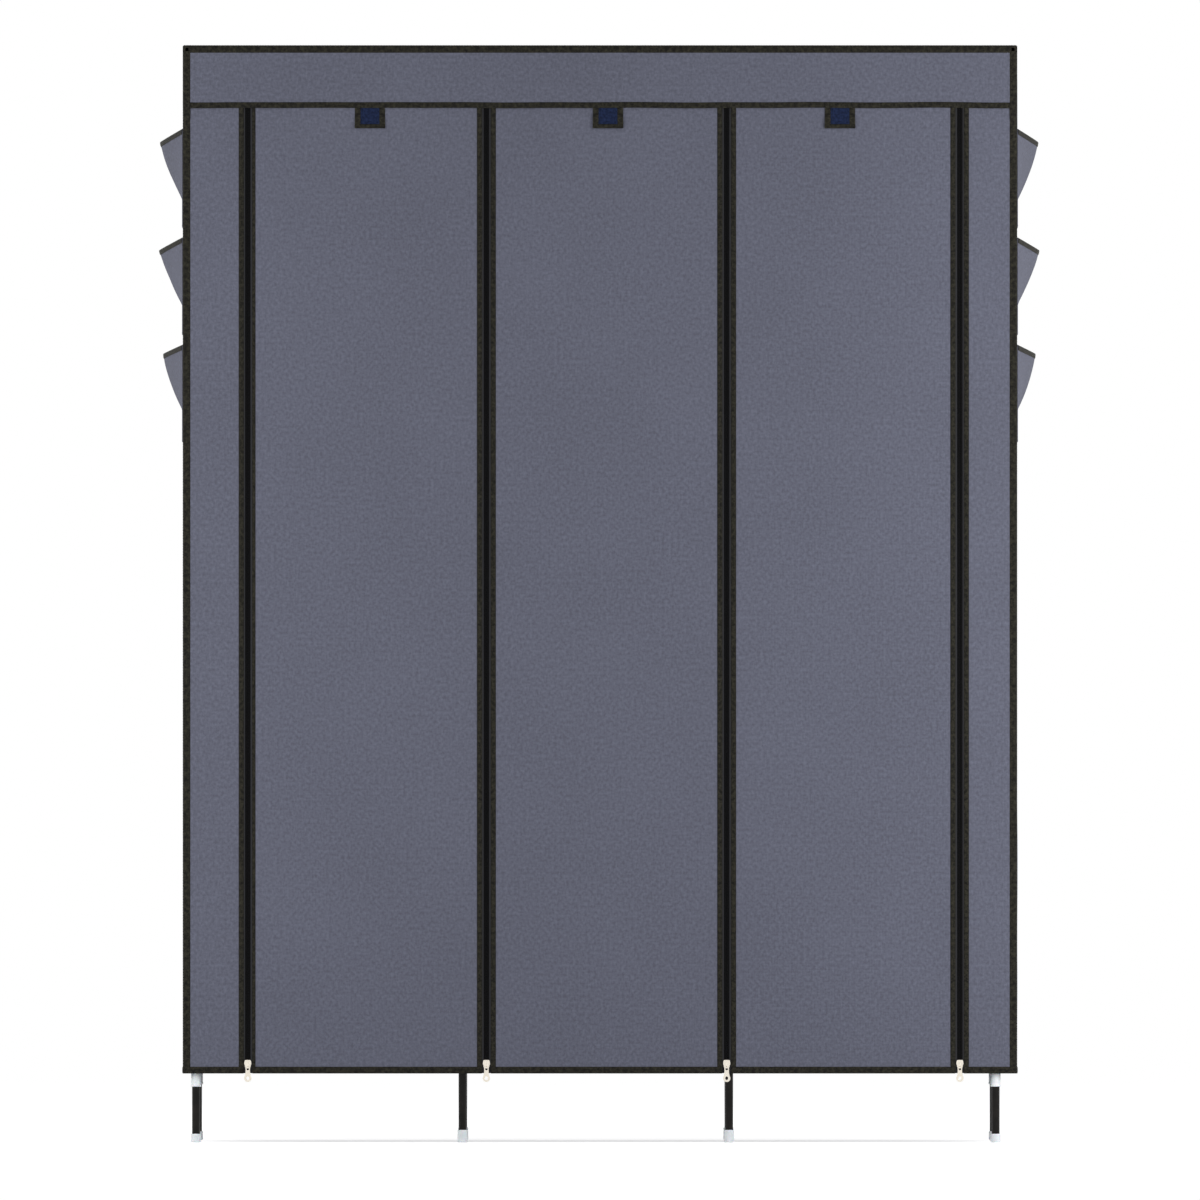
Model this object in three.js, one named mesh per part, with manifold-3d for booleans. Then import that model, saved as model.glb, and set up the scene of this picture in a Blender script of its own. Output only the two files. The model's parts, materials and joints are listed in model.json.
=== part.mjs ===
// Portable fabric wardrobe: a cover of non-woven cloth over a frame of thin steel tubes.
// Two hanging bays and a middle bay of shelves behind three cloth doors, which zippers close and which fold
// up in pleats to open, and three open pockets on each side wall. Millimetres, +Z up, the front faces -Y.
import * as THREE from 'three';
import { mergeVertices } from 'three/addons/utils/BufferGeometryUtils.js';
import Module from 'manifold-3d';

const wasm = await Module();
wasm.setup();

// Driving dimensions of the cover
const cover_width = 1300;
const cover_depth = 450;
const overall_height = 1710;
const hem_height = 108;
const valance_depth = 97;
const cloth = 1.6;

// Clearances
const gap = 0.3;
const overrun = 2;

// Steel tubes and the plastic connectors that join them
const tube_radius = 6.25;
const tube_wall = 0.5;
const tube_sides = 12;
const connector_wall = 1.35;
const collar_length = 26;
const frame_inset = 15;
const left_column_inset = 20.25;
const right_column_inset = 33.25;
const rail_above_hem = 24;
const bottom_socket_rise = 24;
const corner_socket_drop = 45;
const middle_socket_drop = 20;
const top_socket_drop = 24;
const cap_thickness = 1.35;
const shelf_height_shares = [0.3125, 0.625];

// Feet: a short cup on each corner post, a taller one on each middle post
const foot_wall = 1.45;
const foot_floor = 2.5;
const corner_foot_height = 13.5;
const middle_foot_height = 19.5;

// Zippers, counted from the left, at shares of the cover's width from its middle
const zipper_shares = [-0.4223, -0.1362, 0.1519, 0.4315];
const chain_width = 6;
const chain_tuck = 25;
const channel_half = 6.4;
const slider_half_width = 5.6;
const slider_wall = 1.2;
const slider_height = 11.6;
const slider_above_hem = 9;
const slider_width_shares = [0.7, 1, 0.96, 0.76];
const slider_height_shares = [0, 0.48, 0.75, 1];

// The pull hangs from a square bar that the slider's crown holds
const pull_thickness = 1.2;
const pull_neck_width = 7;
const pull_ring_width = 11.5;
const pull_length = 22.7;
const pull_grip_width = 4.5;
const pull_grip_height = 6;
const crown_width = 2.2;
const crown_wall = 1;
const crown_play = 0.35;
const crown_sides = 16;

// Doors: cloth from under the roof to the hem, with four folds across it
const fold_count = 4;
const fold_gap = 0.3;
const strap_clearance = 8;

// Hook-and-loop straps on the valance's lower edge, at shares of the cover's width
const strap_shares = [-0.2758, 0.0096, 0.2878];
const strap_width = 47;
const strap_length = 33;
const strap_flare = 1.5;

// Pockets on the side walls, counted from the top
const pocket_count = 3;
const pocket_top_drop = 133.5;
const pocket_pitch = 167.3;
const pocket_height = 150;
const pocket_side_margin = 12;
const pocket_bulge = 34;
const pocket_bulge_height = 88;
const pocket_mouth_sag = 17;
const pocket_profile_power = 1.3;
const pocket_columns = 12;
const pocket_rows = 9;

// Levels and places that follow from the sizes above
const half_width = cover_width / 2;
const half_depth = cover_depth / 2;
const connector_radius = tube_radius + gap + connector_wall;
const bore_radius = tube_radius + gap;
const post_reach = half_depth - frame_inset;
const top_rail_height = overall_height - cloth - gap - connector_radius;
const bottom_rail_height = hem_height + rail_above_hem;
const post_bottom = foot_floor + gap;
const post_top = top_rail_height + connector_radius - cap_thickness - gap;
const first_column = -half_width + left_column_inset;
const last_column = half_width - right_column_inset;
const column_pitch = (last_column - first_column) / 3;
const columns = [0, 1, 2, 3].map((index) => first_column + index * column_pitch);
const rows = { front: -post_reach, back: post_reach };
const valance_bottom = overall_height - valance_depth;
const front_outer = -half_depth + cloth + gap;
const front_inner = front_outer + cloth;
const zipper_places = zipper_shares.map((share) => share * cover_width);
const fold_top = valance_bottom - strap_length - strap_clearance;
const fold_pitch = (fold_top - hem_height) / (fold_count + 1);
const slider_low = hem_height + slider_above_hem;
const slider_front = front_outer - gap - slider_wall;
const slider_back = front_inner + gap + slider_wall;
const crown_bore = (pull_thickness / 2) * Math.SQRT2 + crown_play;
const crown_radius = crown_bore + crown_wall;
const pull_axis_y = slider_front - crown_bore - gap / 2;
const front_reach = crown_radius - pull_axis_y;
const centring_shift = (front_reach - half_depth) / 2;

function finish(color, roughness, metalness) {
  return new THREE.MeshStandardMaterial({ color, roughness, metalness });
}

const grey_cloth = finish('#646675', 0.95, 0);
const pocket_cloth = finish('#5d5f6e', 0.95, 0);
const black_steel = finish('#24231f', 0.4, 0.3);
const pale_plastic = finish('#dfe8ee', 0.55, 0);
const black_nylon = finish('#0f0e11', 0.6, 0);
const nickel = finish('#cfccc2', 0.3, 1);

const wardrobe = new THREE.Group();
wardrobe.position.y = centring_shift;

function add(name, geometry, material) {
  const mesh = new THREE.Mesh(geometry, material);
  mesh.name = name;
  wardrobe.add(mesh);
  return mesh;
}

// A box between its lowest and highest corner
function block(low, high) {
  const size = high.map((value, axis) => value - low[axis]);
  const middle = high.map((value, axis) => (value + low[axis]) / 2);
  return new THREE.BoxGeometry(...size).translate(...middle);
}

// A solid round bar along one axis, from start to end, at the two other coordinates
function bar(axis, radius, start, end, place, sides = tube_sides) {
  const geometry = new THREE.CylinderGeometry(radius, radius, end - start, sides);
  geometry.translate(0, (start + end) / 2, 0);
  if (axis === 'x') {
    geometry.rotateZ(-Math.PI / 2);
    return geometry.translate(0, ...place);
  }
  if (axis === 'z') {
    geometry.rotateX(Math.PI / 2);
    return geometry.translate(...place, 0);
  }
  return geometry.translate(place[0], 0, place[1]);
}

// A round piece turned about the Z axis from its section, as pairs of radius and height
function turned(section) {
  const points = section.map(([radius, height]) => new THREE.Vector2(radius, height));
  return new THREE.LatheGeometry(points, tube_sides).rotateX(Math.PI / 2);
}

function pipe_section(outer, inner, start, end) {
  return [[inner, start], [outer, start], [outer, end], [inner, end], [inner, start]];
}

function to_solid(geometry) {
  const bare = geometry.clone();
  bare.deleteAttribute('normal');
  bare.deleteAttribute('uv');
  const welded = mergeVertices(bare);
  const vertProperties = new Float32Array(welded.attributes.position.array);
  const triVerts = new Uint32Array(welded.index.array);
  return new wasm.Manifold(new wasm.Mesh({ numProp: 3, vertProperties, triVerts }));
}

function to_geometry(solid) {
  const { vertProperties, triVerts } = solid.getMesh();
  const geometry = new THREE.BufferGeometry();
  geometry.setAttribute('position', new THREE.BufferAttribute(new Float32Array(vertProperties), 3));
  geometry.setIndex(new THREE.BufferAttribute(new Uint32Array(triVerts), 1));
  geometry.computeVertexNormals();
  return geometry;
}

function joined(geometries) {
  return geometries.map(to_solid).reduce((whole, piece) => whole.add(piece));
}

// Corner posts carry the short feet and the long lower sockets
function is_corner(index) {
  return index === 0 || index === columns.length - 1;
}

function make_posts_and_feet() {
  for (const [row, y] of Object.entries(rows)) {
    columns.forEach((x, index) => {
      const post = pipe_section(tube_radius, tube_radius - tube_wall, post_bottom, post_top);
      add(`post_${row}_${index + 1}`, turned(post), black_steel).position.set(x, y, 0);
      const outer = bore_radius + foot_wall;
      const height = is_corner(index) ? corner_foot_height : middle_foot_height;
      const cup = [[0, 0], [outer, 0], [outer, height], [bore_radius, height], [bore_radius, foot_floor], [0, foot_floor]];
      add(`foot_${row}_${index + 1}`, turned(cup), pale_plastic).position.set(x, y, 0);
    });
  }
}

// A cloth sheet from the front tube to the back one, level with their tops
function cloth_between(left, right, level) {
  const top = level + tube_radius;
  return block([left, rows.front, top - cloth], [right, rows.back, top]);
}

// One level of tubes: two along the width, four along the depth, and a connector at each post
function rail_level(level, socket_span, bore_span, deck) {
  const shell = [];
  const hollow = [];
  const inner_radius = tube_radius - tube_wall;
  for (const y of Object.values(rows)) {
    shell.push(bar('x', tube_radius, columns[0], columns[3], [y, level]));
    hollow.push(bar('x', inner_radius, columns[0], columns[3], [y, level]));
    columns.forEach((x, index) => {
      const [low, high] = socket_span(index);
      shell.push(bar('z', connector_radius, low, high, [x, y]));
      hollow.push(bar('z', bore_radius, ...bore_span(index), [x, y]));
      const left = index === 0 ? x : x - collar_length;
      const right = index === columns.length - 1 ? x : x + collar_length;
      shell.push(bar('x', connector_radius, left, right, [y, level]));
      const inward = y - Math.sign(y) * collar_length;
      shell.push(bar('y', connector_radius, Math.min(y, inward), Math.max(y, inward), [x, level]));
    });
  }
  for (const x of columns) {
    shell.push(bar('y', tube_radius, rows.front, rows.back, [x, level]));
    hollow.push(bar('y', inner_radius, rows.front, rows.back, [x, level]));
  }
  if (deck) {
    shell.push(cloth_between(columns[0], columns[3], level));
  }
  return to_geometry(joined(shell).subtract(joined(hollow)));
}

function make_rail_levels() {
  const drop = (index) => (is_corner(index) ? corner_socket_drop : middle_socket_drop);
  const bottom_low = (index) => bottom_rail_height - drop(index);
  const bottom_high = bottom_rail_height + bottom_socket_rise;
  const bottom = rail_level(
    bottom_rail_height,
    (index) => [bottom_low(index), bottom_high],
    (index) => [bottom_low(index) - overrun, bottom_high + overrun],
    true,
  );
  add('bottom_rail_frame', bottom, black_steel);
  const top_low = top_rail_height - top_socket_drop;
  const top_high = top_rail_height + connector_radius;
  const top = rail_level(
    top_rail_height,
    () => [top_low, top_high],
    () => [top_low - overrun, top_high - cap_thickness],
    false,
  );
  add('top_rail_frame', top, black_steel);
}

// A clothes rail across a side bay, between the tubes that run along the depth
function make_hanging_rail(name, left_column, right_column) {
  const start = left_column + tube_radius + gap;
  const end = right_column - tube_radius - gap;
  const section = pipe_section(tube_radius, tube_radius - tube_wall, start, end);
  add(name, turned(section).rotateY(Math.PI / 2), black_steel).position.z = top_rail_height;
}

// A cloth shelf whose front and back hems are sleeves on tubes between the middle posts
function make_shelf(name, share) {
  const level = bottom_rail_height + share * (top_rail_height - bottom_rail_height);
  const start = columns[1] + tube_radius + gap;
  const end = columns[2] - tube_radius - gap;
  const shell = [cloth_between(start, end, level)];
  const hollow = [];
  for (const y of Object.values(rows)) {
    shell.push(bar('x', tube_radius, start, end, [y, level]));
    hollow.push(bar('x', tube_radius - tube_wall, start - overrun, end + overrun, [y, level]));
  }
  add(name, to_geometry(joined(shell).subtract(joined(hollow))), grey_cloth);
}

// A side wall wraps round the front corner and ends at the outer zipper
function make_side_panel(name, side, zipper) {
  const outer = side * half_width;
  const inner = side * (half_width - cloth);
  const strip_end = zipper + side * channel_half;
  const back = half_depth - cloth - gap;
  const outline = new THREE.Shape();
  outline.moveTo(outer, front_outer);
  outline.lineTo(strip_end, front_outer);
  outline.lineTo(strip_end, front_inner);
  outline.lineTo(inner, front_inner);
  outline.lineTo(inner, back);
  outline.lineTo(outer, back);
  outline.closePath();
  const depth = overall_height - hem_height;
  const wall = new THREE.ExtrudeGeometry(outline, { depth, bevelEnabled: false });
  add(name, wall, grey_cloth).position.z = hem_height;
}

function make_roof_and_back() {
  const side = half_width - cloth - gap;
  const back = half_depth - cloth - gap;
  const roof = block([-side, front_inner + gap, overall_height - cloth], [side, back, overall_height]);
  add('roof_panel', roof, grey_cloth);
  const rear = block([-half_width, half_depth - cloth, hem_height], [half_width, half_depth, overall_height]);
  add('back_panel', rear, grey_cloth);
}

// The valance covers the top of the doors, and its three straps hang from its lower edge
function make_valance() {
  const outline = new THREE.Shape();
  outline.moveTo(-half_width, overall_height);
  outline.lineTo(-half_width, valance_bottom);
  for (const share of strap_shares) {
    const middle = share * cover_width;
    const top_half = strap_width / 2 - strap_flare;
    outline.lineTo(middle - top_half, valance_bottom);
    outline.lineTo(middle - strap_width / 2, valance_bottom - strap_length);
    outline.lineTo(middle + strap_width / 2, valance_bottom - strap_length);
    outline.lineTo(middle + top_half, valance_bottom);
  }
  outline.lineTo(half_width, valance_bottom);
  outline.lineTo(half_width, overall_height);
  outline.closePath();
  const sheet = new THREE.ExtrudeGeometry(outline, { depth: cloth, bevelEnabled: false });
  sheet.rotateX(Math.PI / 2);
  add('front_valance', sheet, grey_cloth).position.y = -half_depth + cloth;
}

// A pocket: a slack cloth sheet sewn to the wall at its sides and foot, gaping at its mouth
function make_pocket(name, side, top) {
  const span = cover_depth - 2 * pocket_side_margin;
  const sheet = new THREE.BoxGeometry(cloth, span, pocket_height, 1, pocket_columns, pocket_rows);
  const point = new THREE.Vector3();
  const places = sheet.attributes.position;
  for (let index = 0; index < places.count; index += 1) {
    point.fromBufferAttribute(places, index);
    const across = Math.cos((Math.PI * point.y) / span);
    const below_mouth = pocket_height / 2 - point.z;
    const down = Math.min(below_mouth / pocket_bulge_height, 1);
    const profile = Math.max(Math.cos((Math.PI / 2) * down), 0) ** pocket_profile_power;
    const bulge = pocket_bulge * Math.max(across, 0) * profile;
    const sag = pocket_mouth_sag * Math.max(across, 0) * (1 - below_mouth / pocket_height);
    places.setXYZ(index, point.x + side * bulge, point.y, point.z - sag);
  }
  const x = side * (half_width + gap + cloth / 2);
  add(name, sheet, pocket_cloth).position.set(x, 0, top - pocket_height / 2);
}

function make_pockets() {
  for (const [side_name, side] of [['left', -1], ['right', 1]]) {
    for (let index = 0; index < pocket_count; index += 1) {
      const top = overall_height - pocket_top_drop - index * pocket_pitch;
      make_pocket(`pocket_${side_name}_${index + 1}`, side, top);
    }
  }
}

// A door: a fixed upper part and the parts below each fold, which stack up in front of it
function make_door(name, left_zipper, right_zipper) {
  const left = left_zipper + channel_half;
  const right = right_zipper - channel_half;
  for (let index = 0; index <= fold_count; index += 1) {
    const high = index === 0 ? overall_height : fold_top - index * fold_pitch - fold_gap / 2;
    const next_fold = fold_top - (index + 1) * fold_pitch;
    const low = index === fold_count ? hem_height : next_fold + fold_gap / 2;
    const part = index === 0 ? `${name}_top` : `${name}_panel_${index}`;
    add(part, block([left, front_outer, low], [right, front_inner, high]), grey_cloth);
  }
}

function make_zipper(number, x) {
  const chain_top = valance_bottom + chain_tuck;
  const half_chain = chain_width / 2;
  const chain = block([x - half_chain, front_outer, hem_height], [x + half_chain, front_inner, chain_top]);
  add(`zipper_chain_${number}`, chain, black_nylon);
  const low = slider_low;
  const high = low + slider_height;
  const shell = to_solid(slider_blank(low));
  const slot_half = half_chain + gap;
  const slot_low = [-slot_half, front_outer - gap, low - overrun];
  const slot_high = [slot_half, front_inner + gap, high + overrun];
  const slot = to_solid(block(slot_low, slot_high));
  const half_crown = crown_width / 2;
  const place = [pull_axis_y, low];
  const ring = to_solid(bar('x', crown_radius, -half_crown, half_crown, place, crown_sides));
  const bore = to_solid(bar('x', crown_bore, -half_crown - overrun, half_crown + overrun, place, crown_sides));
  const body = shell.add(ring.subtract(bore)).subtract(slot);
  add(`zipper_slider_${number}`, to_geometry(body), nickel).position.x = x;
  add(`zipper_pull_${number}`, pull_plate(), nickel).position.set(x, pull_axis_y, low);
}

// The slider's outline seen from the front: widest at half its height, narrow at its foot and head
function slider_blank(low) {
  const halves = slider_width_shares.map((share) => share * slider_half_width);
  const heights = slider_height_shares.map((share) => low + share * slider_height);
  const right_side = halves.map((half, index) => new THREE.Vector2(half, heights[index]));
  const left_side = halves.map((half, index) => new THREE.Vector2(-half, heights[index])).reverse();
  const outline = new THREE.Shape([...right_side, ...left_side]);
  const blank = new THREE.ExtrudeGeometry(outline, { depth: slider_back - slider_front, bevelEnabled: false });
  return blank.rotateX(Math.PI / 2).translate(0, slider_back, 0);
}

// The pull's plate hangs down from its axis: a window that leaves its top edge as the bar, and a grip hole
function pull_plate() {
  const half_neck = pull_neck_width / 2;
  const ring_radius = pull_ring_width / 2;
  const bar_half = pull_thickness / 2;
  const ring_middle = ring_radius - pull_length;
  const outline = new THREE.Shape();
  outline.moveTo(-half_neck, bar_half);
  outline.lineTo(-ring_radius, ring_middle);
  outline.absarc(0, ring_middle, ring_radius, Math.PI, 2 * Math.PI, false);
  outline.lineTo(half_neck, bar_half);
  outline.closePath();
  const window_half = crown_width / 2 + crown_play;
  const window_low = -crown_radius - crown_play;
  const grip_half = pull_grip_width / 2;
  const grip_low = ring_middle - pull_grip_height / 2;
  const grip_high = ring_middle + pull_grip_height / 2;
  outline.holes = [
    rectangle(window_half, window_low, -bar_half),
    rectangle(grip_half, grip_low, grip_high),
  ];
  const options = { depth: pull_thickness, bevelEnabled: false, curveSegments: 8 };
  const plate = new THREE.ExtrudeGeometry(outline, options);
  return plate.translate(0, 0, -bar_half).rotateX(Math.PI / 2);
}

function rectangle(half, low, high) {
  const path = new THREE.Path();
  path.moveTo(-half, low);
  path.lineTo(half, low);
  path.lineTo(half, high);
  path.lineTo(-half, high);
  path.closePath();
  return path;
}

make_posts_and_feet();
make_rail_levels();
make_hanging_rail('hanging_rail_left', columns[0], columns[1]);
make_hanging_rail('hanging_rail_right', columns[2], columns[3]);
make_shelf('middle_shelf_lower', shelf_height_shares[0]);
make_shelf('middle_shelf_upper', shelf_height_shares[1]);
make_side_panel('side_panel_left', -1, zipper_places[0]);
make_side_panel('side_panel_right', 1, zipper_places[3]);
make_roof_and_back();
make_valance();
make_pockets();
make_door('door_left', zipper_places[0], zipper_places[1]);
make_door('door_middle', zipper_places[1], zipper_places[2]);
make_door('door_right', zipper_places[2], zipper_places[3]);
zipper_places.forEach((x, index) => make_zipper(index + 1, x));

export default wardrobe;
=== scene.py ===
"""Portable fabric wardrobe: bound non-woven cloth, coil zippers, side pockets and a plug-together frame.

Lengths are in millimetres until a piece is finished, which scales it to metres.
"""

import json
import math

import bmesh
import bpy
from mathutils import Matrix, Vector, noise


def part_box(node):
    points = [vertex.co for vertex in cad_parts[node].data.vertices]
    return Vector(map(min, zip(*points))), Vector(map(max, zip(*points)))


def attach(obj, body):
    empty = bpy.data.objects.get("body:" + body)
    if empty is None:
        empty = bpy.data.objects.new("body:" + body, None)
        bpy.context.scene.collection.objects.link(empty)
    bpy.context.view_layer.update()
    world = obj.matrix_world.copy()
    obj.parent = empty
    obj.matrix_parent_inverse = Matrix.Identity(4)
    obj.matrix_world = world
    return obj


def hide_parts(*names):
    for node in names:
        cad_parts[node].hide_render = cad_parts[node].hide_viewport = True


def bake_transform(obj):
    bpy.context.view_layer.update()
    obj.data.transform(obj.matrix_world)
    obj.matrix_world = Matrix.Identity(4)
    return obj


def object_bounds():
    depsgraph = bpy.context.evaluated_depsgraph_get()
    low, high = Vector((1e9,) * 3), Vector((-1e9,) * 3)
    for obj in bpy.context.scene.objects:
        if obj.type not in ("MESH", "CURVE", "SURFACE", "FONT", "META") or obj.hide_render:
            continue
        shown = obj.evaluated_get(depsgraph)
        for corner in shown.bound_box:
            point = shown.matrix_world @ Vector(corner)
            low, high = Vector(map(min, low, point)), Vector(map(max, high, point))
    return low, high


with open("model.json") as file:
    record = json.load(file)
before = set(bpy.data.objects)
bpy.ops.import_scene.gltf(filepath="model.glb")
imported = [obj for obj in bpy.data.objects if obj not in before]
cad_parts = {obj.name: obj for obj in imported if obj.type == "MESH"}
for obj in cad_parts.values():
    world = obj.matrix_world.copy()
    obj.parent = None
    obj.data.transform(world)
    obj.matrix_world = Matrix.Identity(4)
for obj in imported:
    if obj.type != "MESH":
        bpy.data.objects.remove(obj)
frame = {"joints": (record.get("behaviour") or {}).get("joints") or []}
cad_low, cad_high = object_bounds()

MM = 0.001

# Cloth: its thickness, its largest mesh cell, and the width of the calm strip along a held edge
CLOTH = 0.9
CELL = 13.0
CALM = 60.0
DOOR_BELLY = 1.8
SIDE_BELLY = 2.4
STRIP_BELLY_SHARE = 0.4
STRIP_CALM = 40.0
BACK_BELLY = 3.2

# Tape folded over the cloth's edges: how far its outer face stands from the cloth's middle, its stitches
TAPE = 0.45
TAPE_OUT = 1.07
FOLD_OUT = 0.48
TAPE_LAP = 0.4
BINDING = 10.0
EDGE_TAPE = 7.4
FIRST_EDGE_TAPE = 4.6
VALANCE_TAPE = 8.5
POCKET_TAPE = 8.0
HEM_OVER_SHARE = 1.56
STITCH = (0.42, 0.32, 1.45)
STITCH_PITCH = 4.2
STITCH_INSET = 2.2
PUCKER = 0.25
PUCKER_PITCH = 25.8
PUCKER_REACH = 26.0

# Corners and top edges: the bend, the tape over it, and how far below the bend the cloth ends
CORNER_RADIUS = 3.0
RIDGE_OUT = 0.98
RIDGE_EDGE_OUT = 0.68
RIDGE_CELL = 2.4
BEND_CELL = 1.2
UNDER_RIDGE = 3.3

# Doors: the band round a fold line, where the mesh is closer
FOLD_BAND = 11.0
FOLD_STEP = 1.8

# Zippers
COIL_HALF = 4.3
COIL_PITCH = 2.0
COIL_OUT = 0.45
TOOTH = (0.47 * COIL_HALF, 1.0, 0.5 * COIL_PITCH)
TOOTH_FROM_MIDDLE = 0.5 * COIL_HALF
CORD_FROM_MIDDLE = 0.05
ZIP_TAPE_THICK = 0.4
ZIP_TAPE_END = 11.8
ZIP_BEHIND = 0.2
CLOTH_FROM_ZIP = 7.7

# Valance and what runs up behind it
VALANCE_DEPTH = 97.0
VALANCE_CELL = 8.0
VALANCE_SWING = 1.1
VALANCE_DIP = 0.9
ZIP_UNDER_VALANCE = 25.0
TAPE_UNDER_VALANCE = 20.0
DOOR_UNDER_ROOF = 3.0

# Straps: pile cloth with bound edges
STRAP_WIDTH = 47.0
STRAP_FLARE = 0.6
STRAP_CELL = 4.0
STRAP_PILE = 1.0
STRAP_TAPE = 8.6
STRAP_LOW_TAPE = 6.0
STRAP_TAPE_OVER_SHARE = 1.1
STRAP_LOW_OVER_SHARE = 1.4
STRAP_SHRINK = 0.6
STRAP_BEHIND = 1.3
STRAP_LEAN = 1.6
STRAP_TOP_OUT_SHARE = 0.75
STRAP_UNDER_VALANCE = 6.0
STRAP_SHARES = (-0.2758, 0.0096, 0.2878)

# Roof and decks
ROOF_SAG = 5.0
ROOF_SAG_REACH = 150.0
ROOF_RIPPLE = 0.4
DECK_SAG = 5.0
DECK_SLACK_SHARE = 0.45
DECK_CELL = 14.0
DECK_RIPPLE = 0.5
DECK_WAVE = 60
FLOOR_HELD_END = 110.0

# Tubes and plastic parts
TUBE = 6.25
TUBE_CHAMFER = 0.5
SLEEVE = 7.7
SLEEVE_RIM = 8.1
SLEEVE_RIM_LENGTH = 3.0
SLEEVE_RIM_SLOPE = 0.6
SLEEVE_CHAMFER = 0.5
SLEEVE_BORE_DEPTH = 1.0
SLEEVE_GAP = 0.2
ARM = 26.0
CORNER_SOCKET = 45.0
MIDDLE_SOCKET = 20.0
POST_SOCKET = 24.0
ROUND = 40
BALL_PARTS = (24, 16)

# Colours, sRGB
CLOTH_COLOURS = ("#5b5d6a", "#646675", "#6d7080")
# The lightest, brown tape colour is a painted sheen
TAPE_AND_SHEEN_COLOURS = ("#100f0d", "#1f1e1a", "#38362c")
THREAD_COLOUR = "#3a372d"
ZIP_TAPE_COLOUR = "#38383b"
COIL_COLOURS = ("#040405", "#0b0b0d")
PILE_COLOURS = ("#161d33", "#263253")
# The lighter, brownish steel colour is a painted sheen
STEEL_AND_SHEEN_COLOURS = ("#151412", "#23201d")
PLASTIC_COLOURS = ("#eef5fa", "#f9fcff")
NICKEL_COLOUR = "#e4ddd0"


def linear(code):
    """An sRGB hex colour as linear RGBA."""
    parts = [int(code[i : i + 2], 16) / 255 for i in (1, 3, 5)]
    return [c / 12.92 if c <= 0.04045 else ((c + 0.055) / 1.055) ** 2.4 for c in parts] + [1.0]


def span(node):
    """Lowest and highest corner of a CAD node, in millimetres."""
    low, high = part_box(node)
    return Vector(low) / MM, Vector(high) / MM


def middle_of(node):
    low, high = span(node)
    return (low + high) / 2


# Places read from the frame
DOORS = ("left", "middle", "right")
SIDES = (("left", -1), ("right", 1))
COLUMNS = [middle_of(f"post_front_{i}").x for i in range(1, 5)]
ROW_FRONT = middle_of("post_front_1").y
ROW_BACK = middle_of("post_back_1").y
ROWS = (("front", ROW_FRONT), ("back", ROW_BACK))
ZIPS = [middle_of(f"zipper_chain_{i}").x for i in range(1, 5)]
FRONT = middle_of("door_left_top").y
VALANCE_Y = middle_of("front_valance").y
BACK = middle_of("back_panel").y
HEM = span("back_panel")[0].z
TOP = cad_high[2] / MM
HALF_WIDTH = span("back_panel")[1].x
WALL_X = HALF_WIDTH - 0.7
ROOF_Z = span("roof_panel")[0].z + 0.9
VALANCE_LOW = TOP - VALANCE_DEPTH
STRAP_LOW = span("front_valance")[0].z + 1.3
TOP_LEVEL = middle_of("hanging_rail_left").z
BOTTOM_LEVEL = HEM + 24.0
SHELVES = {name: span(name)[1].z - TUBE for name in ("middle_shelf_lower", "middle_shelf_upper")}
FOLDS = [j["pos_m"][2] / MM for j in frame["joints"] if j["name"].startswith("door_left_fold")]


# Materials. A wave texture's bands are this share of its unit apart.


WAVE_SHARE = math.tau / 20


def features(size):
    """The scale of a pattern whose features are size millimetres apart."""
    return 1 / (size * MM)


def set_inputs(tree, node, inputs):
    """Links each input to a socket, or sets it to a value."""
    for key, value in inputs.items():
        if isinstance(value, bpy.types.NodeSocket):
            tree.links.new(value, node.inputs[key])
        else:
            node.inputs[key].default_value = value


def add_node(tree, kind, inputs=None, stops=(), **settings):
    """Adds a node with its inputs, its colour stops (pairs of position and hex colour) and its settings."""
    made = tree.nodes.new(kind)
    for key, value in settings.items():
        setattr(made, key, value)
    for index, (position, code) in enumerate(stops):
        elements = made.color_ramp.elements
        element = elements[index] if index < len(elements) else elements.new(position)
        element.position = position
        element.color = linear(code)
    set_inputs(tree, made, inputs or {})
    return made


def new_material(name, on_cloth=True):
    """A material, its tree, and its pattern's coordinates: laid on flat cloth or fixed to the object."""
    made = bpy.data.materials.new(name)
    made.use_nodes = True
    tree = made.node_tree
    if on_cloth:
        return made, tree, add_node(tree, "ShaderNodeUVMap", uv_map="cloth").outputs["UV"]
    return made, tree, add_node(tree, "ShaderNodeTexCoord").outputs["Object"]


def spots(tree, place, size, detail, roughness=0.5):
    """Soft noise in spots about size millimetres wide."""
    inputs = {"Vector": place, "Scale": features(size), "Detail": detail, "Roughness": roughness}
    return add_node(tree, "ShaderNodeTexNoise", inputs).outputs["Fac"]


def mixed(tree, share, first, second):
    """The first signal with a share of the second in it."""
    return add_node(tree, "ShaderNodeMix", {0: share, 2: first, 3: second}).outputs[0]


def times(tree, signal, factor):
    return add_node(tree, "ShaderNodeMath", {0: signal, 1: factor}, operation="MULTIPLY").outputs[0]


def coloured(tree, signal, places, colours):
    """Colours laid at places along a signal."""
    stops = tuple(zip(places, colours))
    return add_node(tree, "ShaderNodeValToRGB", {"Fac": signal}, stops).outputs["Color"]


def ranged(tree, signal, low, high):
    """A signal brought from 0 and 1 to low and high."""
    limits = {"Value": signal, "To Min": low, "To Max": high}
    return add_node(tree, "ShaderNodeMapRange", limits).outputs["Result"]


def bumped(tree, height, strength, depth):
    """The relief of a height signal, depth in millimetres."""
    relief = {"Height": height, "Strength": strength, "Distance": depth * MM}
    return add_node(tree, "ShaderNodeBump", relief).outputs["Normal"]


def finished(made, inputs):
    """The material, with what its surface takes."""
    set_inputs(made.node_tree, made.node_tree.nodes["Principled BSDF"], inputs)
    return made


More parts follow.
